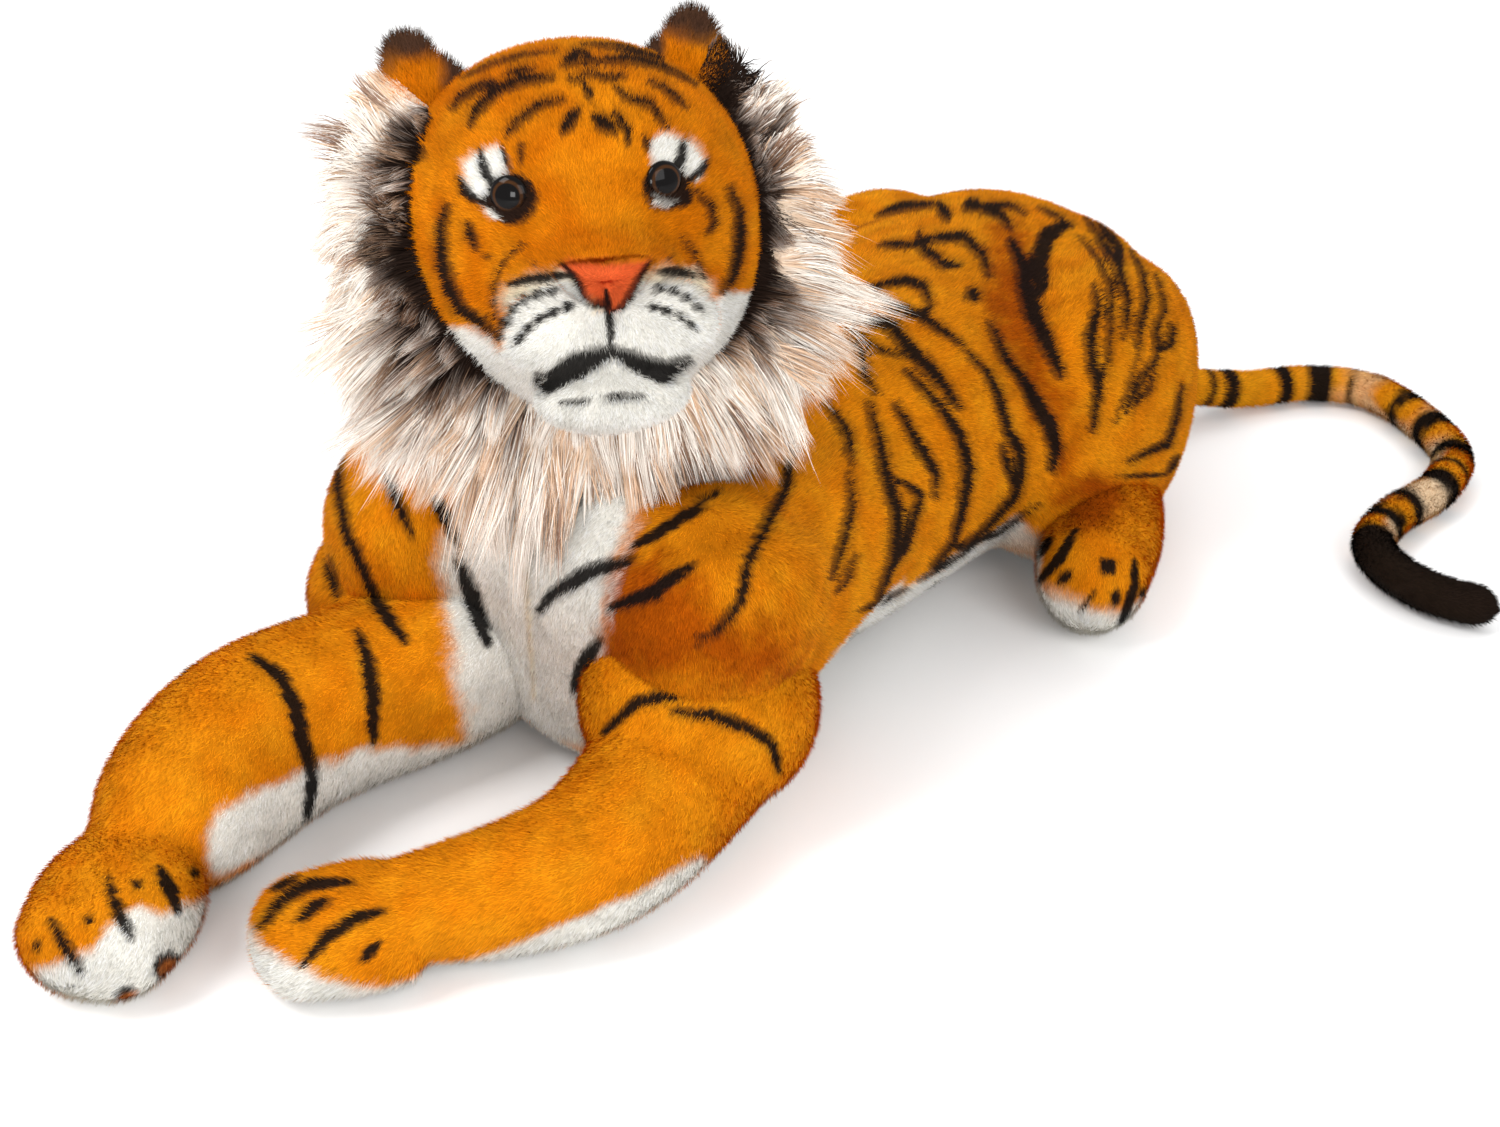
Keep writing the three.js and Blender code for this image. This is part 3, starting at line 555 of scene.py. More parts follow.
@dataclass(frozen=True)
class Coat:
    """The colours of one piece: a ground, dyed patches and patches of painted shade, and black marks."""

    ground: Field
    patches: tuple[Patch, ...] = ()
    marks: Marks = Marks(())
    mirrored: bool = False
    unseen: Field = no_stripes
    late: tuple[Patch, ...] = ()

    def colours(self, points: Array, normals: Array) -> Array:
        """The colour at each place.

        What faces the camera takes the patches and marks as the picture has them. With mirrored,
        the other side takes them reflected in the tiger's middle plane. What is left takes the
        stripes for the unseen side.

        Args:
            points: places in metres.
            normals: the skin's outward directions there.

        Returns:
            Linear colours, shape (n, 3).
        """
        colour = self.ground(points, normals)
        seen = smoothstep(0.0, 0.12, VIEW.facing(points, normals))
        sides = [(points, seen)]
        if self.mirrored:
            flip = np.array([-1.0, 1.0, 1.0])
            other = smoothstep(0.0, 0.12, VIEW.facing(points * flip, normals * flip)) * (1 - seen)
            sides.append((points * flip, other))
        left = np.ones(len(points))
        dark = np.zeros(len(points))
        for places, weight in sides:
            pixels = VIEW.project(places)
            fine, broad = soft_noise(places, 0.004, 3), soft_noise(places, 0.014, 5)
            for patch in self.patches:
                colour = mixed(colour, patch.dye.rgb, patch.mask(pixels, 0.5 * fine + 0.5 * broad) * weight)
            dark = np.maximum(dark, self.marks.mask(pixels, 0.7 * fine + 0.4 * broad) * weight)
            left -= weight
        dark = np.maximum(dark, self.unseen(points, normals) * np.clip(left, 0, 1))
        colour = mixed(colour, Dye.BLACK.rgb, 0.98 * dark)
        for patch in self.late:
            colour = mixed(colour, patch.dye.rgb, patch.mask(VIEW.project(points), np.zeros(len(points))) * seen)
        return colour


def read(parts: bpy.types.bpy_prop_collection, name: str, kind: type = np.float32, width: int = 3) -> Array:
    """Reads what each of a mesh's parts says under a name.

    Args:
        parts: the mesh's vertices, faces or corners.
        name: what to read.
        kind: the kind of number that it is kept as.
        width: how many numbers each part has.

    Returns:
        An array with a row for each part, of floats unless it is kept as whole numbers.
    """
    values = np.zeros(len(parts) * width, kind)
    parts.foreach_get(name, values)
    values = values.astype(float) if kind is np.float32 else values
    return values.reshape(-1, width) if width > 1 else values


@dataclass
class Surface:
    """A skin as arrays: places in metres, triangles, and normals at the places."""

    points: Array
    triangles: Array
    normals: Array

    @classmethod
    def of_mesh(cls, mesh: bpy.types.Mesh) -> "Surface":
        """Reads a mesh into arrays.

        Args:
            mesh: the skin.

        Returns:
            Its arrays.
        """
        mesh.calc_loop_triangles()
        triangles = read(mesh.loop_triangles, "vertices", np.int32)
        return cls(read(mesh.vertices, "co"), triangles, read(mesh.vertex_normals, "vector"))

    def scatter(self, density: float, seed: int, keep: Field | None) -> tuple[Array, Array]:
        """Spreads roots evenly over the skin.

        Each triangle is drawn in proportion to its area, and a root is a random mix of its corners.

        Args:
            density: roots on a square millimetre.
            seed: fixes the random draw.
            keep: gives the share of roots to keep at each place.

        Returns:
            The roots and the skin's directions there.
        """
        rng = np.random.default_rng(seed)
        a, b, c = (self.points[self.triangles[:, k]] for k in range(3))
        area = np.linalg.norm(np.cross(b - a, c - a), axis=1) / 2
        count = int(area.sum() * density / MM**2)
        chosen = np.searchsorted(np.cumsum(area), rng.random(count) * area.sum())
        chosen = np.minimum(chosen, len(area) - 1)
        u, v = rng.random(count), rng.random(count)
        over = u + v > 1
        u, v = np.where(over, 1 - u, u)[:, None], np.where(over, 1 - v, v)[:, None]
        roots = a[chosen] * (1 - u - v) + b[chosen] * u + c[chosen] * v
        n = [self.normals[self.triangles[chosen, k]] for k in range(3)]
        normals = unit(n[0] * (1 - u - v) + n[1] * u + n[2] * v)
        if keep is not None:
            kept = rng.random(count) < keep(roots, normals)
            roots, normals = roots[kept], normals[kept]
        return roots, normals


def nearest_index(points: Array, centres: Array) -> Array:
    """Finds each point's nearest centre: the one with the least squared distance.

    Args:
        points: the points.
        centres: the places to choose from.

    Returns:
        A whole number for each point.
    """
    square = (centres**2).sum(1)
    parts = np.array_split(points, 1 + len(points) // 2000)
    return np.concatenate([np.argmin(square - 2 * part @ centres.T, axis=1) for part in parts])


def box_map(points: Array, normals: Array) -> Array:
    """Unwraps places by the axis that each one's direction is nearest to.

    Six charts, one for each way along an axis, stand in a grid of three by two, all at one scale.

    Args:
        points: places of one piece.
        normals: directions at them.

    Returns:
        Map places from 0 to 1, shape (n, 2).
    """
    low = points.min(0)
    size = float((points.max(0) - low).max())
    axis = np.abs(normals).argmax(1)
    rows = np.arange(len(points))
    down = (normals[rows, axis] < 0).astype(float)
    shares = (points - low) / size
    first = np.where(axis == 0, shares[:, 1], shares[:, 0])
    second = np.where(axis == 2, shares[:, 1], shares[:, 2])
    return np.stack([(axis + 0.02 + 0.96 * first) / 3, (down + 0.02 + 0.96 * second) / 2], axis=1)


def shell(name: str, points: Array, faces: Sequence[Sequence[int]]) -> bpy.types.Mesh:
    """Makes a mesh from places in metres and the places of each face.

    Args:
        name: the mesh's name.
        points: its places.
        faces: the numbers of each face's places.

    Returns:
        The mesh.
    """
    mesh = bpy.data.meshes.new(name)
    mesh.from_pydata(points.tolist(), [], faces)
    mesh.update()
    return mesh


def fused(name: str, forms: Sequence[StuffedForm], voxel: float, smoothing: int) -> bpy.types.Mesh:
    """Sews forms into one closed skin.

    The forms' surfaces are joined on a grid of voxels, and the steps and creases are then relaxed
    towards the mean of their neighbours.

    Args:
        name: the mesh's name.
        forms: the forms, in millimetres.
        voxel: the grid's pitch in millimetres.
        smoothing: rounds of relaxing.

    Returns:
        The skin as a mesh, in metres.
    """
    points, faces, count = [], [], 0
    for form in forms:
        places, sides = form.surface()
        points.append(places * MM)
        faces += [tuple(place + count for place in side) for side in sides]
        count += len(places)
    rough = shell(name + "_rough", np.vstack(points), faces)
    holder = bpy.data.objects.new(name + "_rough", rough)
    bpy.context.scene.collection.objects.link(holder)
    remesh = holder.modifiers.new("fuse", "REMESH")
    remesh.mode = "VOXEL"
    remesh.voxel_size = voxel * MM
    relax = holder.modifiers.new("relax", "SMOOTH")
    relax.factor, relax.iterations = 0.5, smoothing
    bpy.context.view_layer.update()
    made = bpy.data.meshes.new_from_object(holder.evaluated_get(bpy.context.evaluated_depsgraph_get()))
    made.name = name
    bpy.data.objects.remove(holder)
    bpy.data.meshes.remove(rough)
    return made


def set_colours(mesh: bpy.types.Mesh, colours: Array) -> None:
    """Keeps a linear colour at each of a mesh's places, for the material to read as its dye; on skins and piles this
    colour also holds painted shade and light.

    Args:
        mesh: the mesh.
        colours: a linear colour for each place, shape (n, 3).
    """
    attribute = mesh.attributes.new("dye", "FLOAT_COLOR", "POINT")
    full = np.concatenate([colours, np.ones((len(colours), 1))], axis=1).astype(np.float32)
    attribute.data.foreach_set("color", full.ravel())


def set_map(mesh: bpy.types.Mesh, places: Array) -> None:
    """Gives a mesh its map, from a map place for each corner of its faces."""
    layer = mesh.uv_layers.new(name="OFBake")
    layer.uv.foreach_set("vector", places.astype(np.float32).ravel())


def set_face_map(mesh: bpy.types.Mesh, surface: Surface) -> None:
    """Gives a skin its map, each face by its own direction so that none spans two charts.

    Args:
        mesh: the skin.
        surface: the same skin as arrays.
    """
    totals = read(mesh.polygons, "loop_total", np.int32, 1)
    corners = read(mesh.loops, "vertex_index", np.int32, 1)
    at_corners = np.repeat(read(mesh.polygons, "normal"), totals, axis=0)
    set_map(mesh, box_map(surface.points[corners], at_corners))


def add_object(name: str, mesh: bpy.types.Mesh, material: bpy.types.Material) -> bpy.types.Object:
    """Links a mesh as a piece with its material.

    Args:
        name: the piece's name.
        mesh: its mesh.
        material: its material.

    Returns:
        The piece.
    """
    mesh.materials.clear()
    mesh.materials.append(material)
    piece = bpy.data.objects.new(name, mesh)
    bpy.context.scene.collection.objects.link(piece)
    return piece


def blade_mesh(name: str, rows: Sequence[Array], lit: Array, colours: Array, spots: Array) -> bpy.types.Mesh:
    """Makes a mesh of fine blades. Each is a ribbon between pairs of places and ends in one place.

    Args:
        name: the mesh's name.
        rows: the first place of every blade, the second place and so on, each of shape (n, 3).
        lit: the direction by which each blade is lit.
        colours: the colour of each place of each blade, shape (n, places, 3).
        spots: their map places, shape (n, places, 2), or (n, 1, 2) for one to a blade.

    Returns:
        The mesh, with the blades one after another.
    """
    count, per = len(lit), len(rows)
    triangles = [t for k in range(0, per - 3, 2) for t in ((k, k + 1, k + 3), (k, k + 3, k + 2))]
    triangles.append((per - 3, per - 2, per - 1))
    index = (np.arange(count)[:, None, None] * per + np.array(triangles)).reshape(-1, 3)
    points = np.stack(rows, axis=1).reshape(-1, 3)
    points[:, 2] = np.maximum(points[:, 2], FLOOR_GAP)
    mesh = bpy.data.meshes.new(name)
    mesh.vertices.add(len(points))
    mesh.vertices.foreach_set("co", points.astype(np.float32).ravel())
    mesh.loops.add(index.size)
    mesh.loops.foreach_set("vertex_index", index.astype(np.int32).ravel())
    mesh.polygons.add(len(index))
    mesh.polygons.foreach_set("loop_start", np.arange(0, index.size, 3, dtype=np.int32))
    mesh.update(calc_edges=True)
    kept = mesh.attributes.new("custom_normal", "FLOAT_VECTOR", "POINT")
    kept.data.foreach_set("vector", np.repeat(lit, per, axis=0).astype(np.float32).ravel())
    set_colours(mesh, np.clip(colours.reshape(-1, 3), 0, 1))
    set_map(mesh, np.broadcast_to(spots, (count, per, 2)).reshape(-1, 2)[index.ravel()])
    return mesh


@dataclass(frozen=True)
class Pile:
    """How a piece's fur grows: lengths in millimetres, lean in degrees from upright."""

    length: float = 7.6
    width: float = 0.9
    density: float = 0.57
    lean: float = 58.0
    stray: float = 0.25
    # The root factor darkens each blade as painted shade deep in the pile; the tip factor lightens it as painted light.
    root_painted_shade: float = 0.68
    tip_painted_light: float = 1.18
    blur: float = 0.5
    rooted: float = 1.2
    spot: float = 0.0005

    def blades(
        self, name: str, roots: Array, normals: Array, flow: Array, dyes: Field, seed: int
    ) -> bpy.types.Mesh:
        """Makes one fine tapering blade at each root.

        A blade leaves the skin at the pile's lean towards the flow, and is lit as the skin under
        it is.

        Args:
            name: the mesh's name.
            roots: where the blades stand.
            normals: the skin's directions at the roots.
            flow: the way the fur is brushed at the roots.
            dyes: gives the colour at places, which each blade takes at its root and at its tip.
            seed: fixes the random draw.

        Returns:
            The blades as one mesh.
        """
        rng = np.random.default_rng(seed)
        count = len(roots)
        along = unit(flow - (flow * normals).sum(1, keepdims=True) * normals)
        across = np.cross(normals, along)
        swing = rng.normal(0, self.stray, count)[:, None]
        along, across = unit(along + swing * across), unit(across - swing * along)
        roll = rng.normal(0, 0.45, count)[:, None]
        across = unit(across * np.cos(roll) + normals * np.sin(roll))
        lean = np.radians(np.clip(rng.normal(self.lean, 9.0, count), 8, 84))[:, None] * 1.1
        reach = (self.length * rng.uniform(0.72, 1.12, count) * MM)[:, None]
        half = (self.width * rng.uniform(0.7, 1.2, count) * MM / 2)[:, None]
        foot = roots - normals * self.rooted * MM
        tip = roots + reach * (np.cos(lean) * normals + np.sin(lean) * along)
        own = rng.uniform(0.72, 1.22, count) * (1 + 0.14 * soft_noise(roots, 0.007, seed))
        jitter = rng.normal(0, self.blur * MM, (count, 3))
        at_root, at_tip = dyes(roots + jitter, normals), dyes(tip + jitter, normals)
        # Painted shade at the root and painted light at the tip, times each blade's own random tone.
        shade = np.array([self.root_painted_shade, self.root_painted_shade, self.tip_painted_light]) * own[:, None]
        spots = box_map(roots, normals)[:, None] + self.spot * np.array([[-1.0, 0.0], [1.0, 0.0], [0.0, 1.8]])
        return blade_mesh(
            name, (foot + across * half, foot - across * half, tip), unit(normals + 0.45 * along),
            np.stack([at_root, at_root, at_tip], axis=1) * shade[..., None], spots,
        )


def set_inputs(node: bpy.types.Node, values: dict[str, object]) -> None:
    """Sets a node's inputs by their names."""
    for name, value in values.items():
        node.inputs[name].default_value = value


@dataclass(frozen=True)
class Finish:
    """A material: how it takes the light, and how uneven its colour is.

    The colour is the mesh's own dye, with any painted shade and light in it, or one colour for the whole piece.
    """

    name: str
    look: dict[str, float]
    amount: float
    scale: float
    colour: tuple[float, ...] | None = None
    weave: float = 0.0
    weave_scale: float = 900.0
    weave_depth: float = 0.0006

    def make(self, variation: bpy.types.NodeTree) -> bpy.types.Material:
        """Makes the material.

        Args:
            variation: the shared group that makes a colour uneven.

        Returns:
            The material.
        """
        material = bpy.data.materials.new(self.name)
        material.use_nodes = True
        nodes, links = material.node_tree.nodes, material.node_tree.links
        shader, varied = nodes["Principled BSDF"], nodes.new("ShaderNodeGroup")
        varied.node_tree = variation
        set_inputs(varied, {"Amount": self.amount, "Scale": self.scale})
        if self.colour:
            set_inputs(varied, {"Colour": self.colour})
        else:
            dye = nodes.new("ShaderNodeAttribute")
            dye.attribute_name = "dye"
            links.new(dye.outputs["Color"], varied.inputs["Colour"])
        links.new(varied.outputs["Colour"], shader.inputs["Base Color"])
        set_inputs(shader, self.look)
        if self.weave:
            fine, raised = nodes.new("ShaderNodeGroup"), nodes.new("ShaderNodeBump")
            fine.node_tree = variation
            set_inputs(fine, {"Scale": self.weave_scale})
            set_inputs(raised, {"Strength": self.weave, "Distance": self.weave_depth})
            links.new(fine.outputs["Height"], raised.inputs["Height"])
            links.new(raised.outputs["Normal"], shader.inputs["Normal"])
        return material


PILE_FIBRE = Finish("pile", {"Roughness": 0.85, "Specular IOR Level": 0.04}, 0.45, 26.0)
BACKING = Finish("backing", {"Roughness": 0.95, "Specular IOR Level": 0.04}, 0.45, 26.0, weave=0.4)
EYE_PLASTIC = Finish(
    "eye_plastic", {"Roughness": 0.12, "Coat Weight": 0.16, "Coat Roughness": 0.03, "Specular IOR Level": 0.05},
    0.5, 420.0,
)
WASHER_PLASTIC = Finish("washer_plastic", {"Roughness": 0.5}, 0.3, 200.0, (0.55, 0.55, 0.53, 1.0))


class Finishes:
    """The materials, each made once."""

    def __init__(self) -> None:
        """Makes the shared node group and the materials."""
        variation = self.make_variation()
        self.pile, self.skin, self.eye, self.washer = (
            finish.make(variation) for finish in (PILE_FIBRE, BACKING, EYE_PLASTIC, WASHER_PLASTIC)
        )

    @staticmethod
    def make_variation() -> bpy.types.NodeTree:
        """A group that makes a dye uneven: noise lightens and darkens it.

        Returns:
            The group, with inputs Colour, Amount and Scale and outputs Colour and Height.
        """
        group = bpy.data.node_groups.new("dye variation", "ShaderNodeTree")
        for name, way, kind in (
            ("Colour", "INPUT", "Color"), ("Amount", "INPUT", "Float"), ("Scale", "INPUT", "Float"),
            ("Colour", "OUTPUT", "Color"), ("Height", "OUTPUT", "Float"),
        ):
            group.interface.new_socket(name, in_out=way, socket_type="NodeSocket" + kind)
        nodes, links = group.nodes, group.links
        given, made, place, noise, level, grey, mix = (
            nodes.new(kind) for kind in (
                "NodeGroupInput", "NodeGroupOutput", "ShaderNodeTexCoord", "ShaderNodeTexNoise",
                "ShaderNodeMapRange", "ShaderNodeCombineColor", "ShaderNodeMix",
            )
        )
        set_inputs(noise, {"Detail": 5.0, "Roughness": 0.65})
        set_inputs(level, {"From Min": 0.3, "From Max": 0.7, "To Min": 0.62, "To Max": 1.24})
        mix.data_type, mix.blend_type = "RGBA", "MULTIPLY"
        links.new(place.outputs["Object"], noise.inputs["Vector"])
        links.new(given.outputs["Scale"], noise.inputs["Scale"])
        links.new(noise.outputs["Fac"], level.inputs["Value"])
        for channel in ("Red", "Green", "Blue"):
            links.new(level.outputs["Result"], grey.inputs[channel])
        links.new(given.outputs["Amount"], mix.inputs["Factor"])
        links.new(given.outputs["Colour"], mix.inputs["A"])
        links.new(grey.outputs["Color"], mix.inputs["B"])
        links.new(mix.outputs["Result"], made.inputs["Colour"])
        links.new(noise.outputs["Fac"], made.inputs["Height"])
        return group


def set_smooth(mesh: bpy.types.Mesh) -> None:
    """Shades a mesh smooth."""
    mesh.polygons.foreach_set("use_smooth", np.ones(len(mesh.polygons), bool))


def everywhere(vector: Array) -> Field:
    """Brushes the fur of a whole piece one way."""
    return lambda points, _normals: np.tile(vector, (len(points), 1))


def hold(pieces: Sequence[bpy.types.Object], body: str, *replaced: str) -> None:
    """Lets the first piece stand for CAD nodes, and holds all the pieces on one body.

    Args:
        pieces: the skin and its piles.
        body: the body that carries them.
        replaced: the nodes that the first piece stands for.
    """
    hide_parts(*replaced)
    for each in pieces:
        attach(each, body)


def bend(
    pieces: Sequence[bpy.types.Object], bodies: tuple[str, str], ends: tuple[Array, Array], *replaced: str
) -> None:
    """Lets the first piece stand for CAD nodes, and bakes each piece's place into its mesh.

    Args:
        pieces: the skin and its piles.
        bodies: the two bodies; not used.
        ends: where the bend would start and where it would end, in metres; not used.
        replaced: the nodes that the first piece stands for.
    """
    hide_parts(*replaced)
    for each in pieces:
        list(bodies)
        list(ends)
        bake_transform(each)


@dataclass
class PlushPiece:
    """A stuffed piece: its skin, the pile on it, and its dyes and painted shade."""

    name: str
    mesh: bpy.types.Mesh
    coat: Coat
    pile: Pile
    flow: Field
    finishes: Finishes
    slot: Slot = Slot.ORANGE
    keep: Field | None = None
    fill: float = 0.85
    seed: int = 1
    skin_painted_shade: float = 0.7

    def dress(self, parts: Sequence[tuple[str, Field]] | None = None) -> list[bpy.types.Object]:
        """Adds the skin and its pile.

        Args:
            parts: names and regions to split the pile into, or None for one pile.

        Returns:
            The skin and then the piles.
        """
        set_smooth(self.mesh)
        surface = Surface.of_mesh(self.mesh)
        # Painted shade: the skin takes the coat's colour darkened, as it lies in shade under the pile.
        set_colours(self.mesh, self.skin_painted_shade * self.coat.colours(surface.points, surface.normals))
        set_face_map(self.mesh, surface)
        skin = add_object(self.name + "_skin", self.mesh, self.finishes.skin)
        pieces = [skin]
        roots, normals = surface.scatter(self.pile.density, self.seed, self.keep)
        flow = self.flow(roots, normals)
        for number, (part, region) in enumerate(parts or [("pile", lambda p, n: np.ones(len(p), bool))]):
            inside = region(roots, normals)
            name = f"{self.name}_{part}"
            blades = self.pile.blades(
                name, roots[inside], normals[inside], flow[inside], self.coat.colours, self.seed + number
            )
            pieces.append(add_object(name, blades, self.finishes.pile))
            log.info("%s: %d blades", name, int(inside.sum()))
        log.info("%s: skin of %d places", self.name, len(surface.points))
        return pieces


def dashed(width: float, *route: float, pitch: float = 15.0, dash: float = 9.0) -> tuple[tuple[float, ...], ...]:
    """Breaks a stroke into the short dashes of a row of whisker roots.

    Args:
        width: how wide the dashes are.
        route: the stroke's places, x and y in turn.
        pitch: the way from one dash to the next.
        dash: how long a dash is.

    Returns:
        A stroke for each dash.
    """
    line = np.array(route).reshape(-1, 2)
    run = np.concatenate([[0.0], np.cumsum(np.linalg.norm(np.diff(line, axis=0), axis=1))])
    starts = np.arange(0.0, run[-1] - 6.0, pitch)
    ends = (np.stack([np.interp(starts + ahead, run, line[:, k]) for k in range(2)], axis=1) for ahead in (0.0, dash))
    return tuple((width, *start.tolist(), *end.tolist()) for start, end in zip(*ends))


FLANK_MARKS = Marks((
    (8, 877, 214, 904, 205, 940, 202), (10, 940, 202, 949, 219), (9, 964, 204, 979, 205, 1000, 213, 1013, 228),
    (12, 967, 208, 977, 200), (5, 988, 202, 1012, 204, 1027, 213), (4, 1039, 205, 1060, 216, 1075, 226),
    (7, 880, 243, 919, 244), (9, 919, 231, 922, 246, 946, 264, 961, 264),
    (9, 922, 238, 964, 235, 982, 252, 991, 276), (12, 972, 288, 976, 300),
    (8, 874, 285, 907, 279, 925, 285, 931, 303, 928, 315), (9, 868, 285, 886, 303, 922, 315, 940, 327, 964, 345),
    (12, 841, 312, 865, 318, 892, 324, 910, 348, 934, 372, 949, 390, 959, 408), (5, 850, 324, 877, 348, 904, 357),
    (8, 844, 333, 862, 351, 865, 372, 877, 393), (9, 896, 402, 919, 444, 937, 474, 937, 498),
    (10, 907, 369, 940, 405, 961, 435, 970, 468, 964, 507, 955, 543, 934, 567),
    (11, 869, 402, 880, 438, 887, 474, 899, 513, 896, 558, 880, 597),
    (8, 901, 480, 922, 495, 913, 525, 908, 546, 898, 564), (9, 826, 402, 847, 429, 854, 462),
    (8, 850, 471, 854, 504, 844, 546, 833, 579), (6, 857, 555, 850, 576, 839, 594),
    (9, 967, 351, 988, 372, 1000, 396, 1009, 432, 1021, 450, 1022, 471, 1015, 498, 988, 528, 961, 549),
    (7, 1003, 444, 1012, 483), (8, 991, 321, 1006, 357, 1030, 390),
    (13, 1018, 370, 1035, 400, 1050, 425, 1057, 450, 1052, 470),
    (15, 1012, 240, 1024, 264, 1027, 288, 1036, 318, 1048, 342, 1061, 375),
    (14, 1066, 225, 1048, 234, 1040, 258, 1043, 282, 1042, 291), (5, 862, 612, 908, 589), (5, 920, 582, 976, 547),
    (5, 961, 550, 1000, 533, 1040, 505),
    (10, 1094, 282, 1099, 306, 1091, 336, 1094, 366, 1100, 387, 1096, 411, 1094, 432),
    (6, 1081, 235, 1099, 258, 1112, 285, 1112, 324, 1109, 360, 1102, 387),
    (8, 1087, 216, 1102, 240, 1120, 267, 1129, 300, 1126, 339), (7, 1100, 219, 1120, 246, 1123, 267),
    (7, 1132, 249, 1144, 273, 1148, 300, 1141, 327, 1139, 360), (4, 1139, 360, 1129, 396, 1115, 423),
    (6, 1157, 273, 1165, 300, 1165, 312, 1157, 330, 1159, 357, 1147, 372, 1129, 414),
    (7, 1175, 324, 1171, 345, 1159, 351), (4, 1156, 372, 1151, 390, 1135, 408),
    (7, 1184, 384, 1178, 417, 1169, 444, 1147, 453, 1129, 463), (6, 1181, 456, 1168, 474),
    (3, 1120, 477, 1168, 475), (9, 786, 392, 792, 449, 786, 490, 762, 535, 749, 560, 741, 604, 713, 637, 697, 642),
    (9, 719, 490, 688, 514, 647, 539, 631, 547), (12, 631, 560, 592, 571, 554, 593, 538, 612),
    (12, 609, 609, 653, 593, 691, 565), (12, 573, 692, 584, 664, 598, 642),
    (9, 339, 412, 337, 449, 337, 490, 345, 531, 358, 560, 378, 604, 406, 642), (9, 382, 453, 392, 490, 411, 535),
    (8, 326, 560, 337, 598), (10, 427, 482, 462, 551), (12, 458, 560, 472, 598, 488, 645),
), extra=1.6)
# Painted shade: deep orange in the creases between the flank, the haunch and the hind foot.
FOLD_SHADE = (
    Patch((
        985, 300, 1005, 215, 1030, 230, 1040, 300, 1060, 370, 1070, 440, 1078, 480, 1058, 482, 1048, 430, 1018, 390,
        995, 350,
    ), Dye.DEEP, 28.0),
    Patch((1060, 484, 1100, 474, 1140, 490, 1180, 480, 1150, 500, 1060, 500), Dye.DEEP, 12.0),
)

LEG_MARKS = Marks((
    (11, 252, 656, 280, 675, 296, 708, 304, 746, 313, 779, 307, 818), (10, 357, 631, 368, 659, 373, 697, 373, 744),
    (10, 358, 560, 378, 604, 406, 642), (8, 326, 560, 337, 598), (12, 458, 560, 472, 598, 488, 645),
    (9, 603, 733, 636, 703, 697, 689, 743, 692), (9, 672, 712, 713, 716, 751, 730, 773, 746, 779, 771),
    (9, 258, 928, 280, 900, 307, 884, 351, 881), (8, 296, 922, 313, 906, 329, 900),
    (9, 302, 966, 324, 939, 357, 917, 384, 911), (8, 362, 960, 378, 944), (7, 269, 889, 296, 875),
    (8, 49, 919, 66, 949, 82, 974), (8, 107, 878, 118, 911, 132, 939), (10, 159, 867, 170, 889, 178, 911),
    (7, 137, 884), (7, 88, 919), (6, 36, 947), (6, 195, 873), (24, 169, 968), (16, 126, 997),
))

RIGHT_LEG_PATCHES = (
    Patch((
        495, 738, 440, 748, 360, 750, 290, 778, 225, 808, 206, 835, 212, 880, 310, 840, 380, 810, 490, 770,
    ), Dye.WHITE, 7.0),
    Patch((
        14, 985, 60, 962, 95, 948, 112, 922, 140, 905, 165, 915, 185, 905, 228, 896, 228, 950, 190, 985, 120, 1025,
        20, 1020,
    ), Dye.WHITE, 6.0),
)
PAW_PADS = (
    Patch((160, 966, 168, 960, 176, 962, 178, 970, 168, 976, 160, 974), Dye.PAD, 1.5),
    Patch((116, 999, 128, 993, 138, 992, 134, 999, 122, 1003), Dye.PAD, 1.5),
)
LEFT_LEG_PATCHES = (
    Patch((
        240, 920, 262, 948, 290, 965, 320, 978, 350, 987, 385, 990, 430, 976, 440, 1030, 300, 1040, 235, 980,
    ), Dye.WHITE, 6.0),
    Patch((
        385, 990, 450, 970, 520, 943, 640, 893, 700, 857, 730, 885, 640, 940, 520, 1000, 390, 1040,
    ), Dye.WHITE, 4.0),
)

FOOT_MARKS = Marks((
    (8, 1075, 531, 1060, 558, 1039, 582), (6, 1051, 537, 1040, 555), (8, 1070, 573, 1058, 583),
    (14, 1104, 562, 1112, 572), (7, 1117, 591, 1114, 606), (7, 1135, 561, 1135, 585, 1127, 609, 1120, 627),
    (8, 1144, 594), (3, 1096, 591, 1078, 615),
), extra=1.6)
FOOT_PATCHES = (
    # Painted shade: deep orange on the top of the foot, under the haunch. The next patch is the white toes.
    Patch((1055, 480, 1115, 476, 1130, 510, 1085, 530, 1058, 518), Dye.DEEP, 14.0),
    Patch((
        1020, 505, 1036, 520, 1040, 560, 1038, 588, 1054, 600, 1078, 610, 1095, 612, 1108, 620, 1130, 612, 1150,
        592, 1175, 600, 1150, 660, 1040, 665, 1005, 600,
    ), Dye.WHITE, 5.0),
)

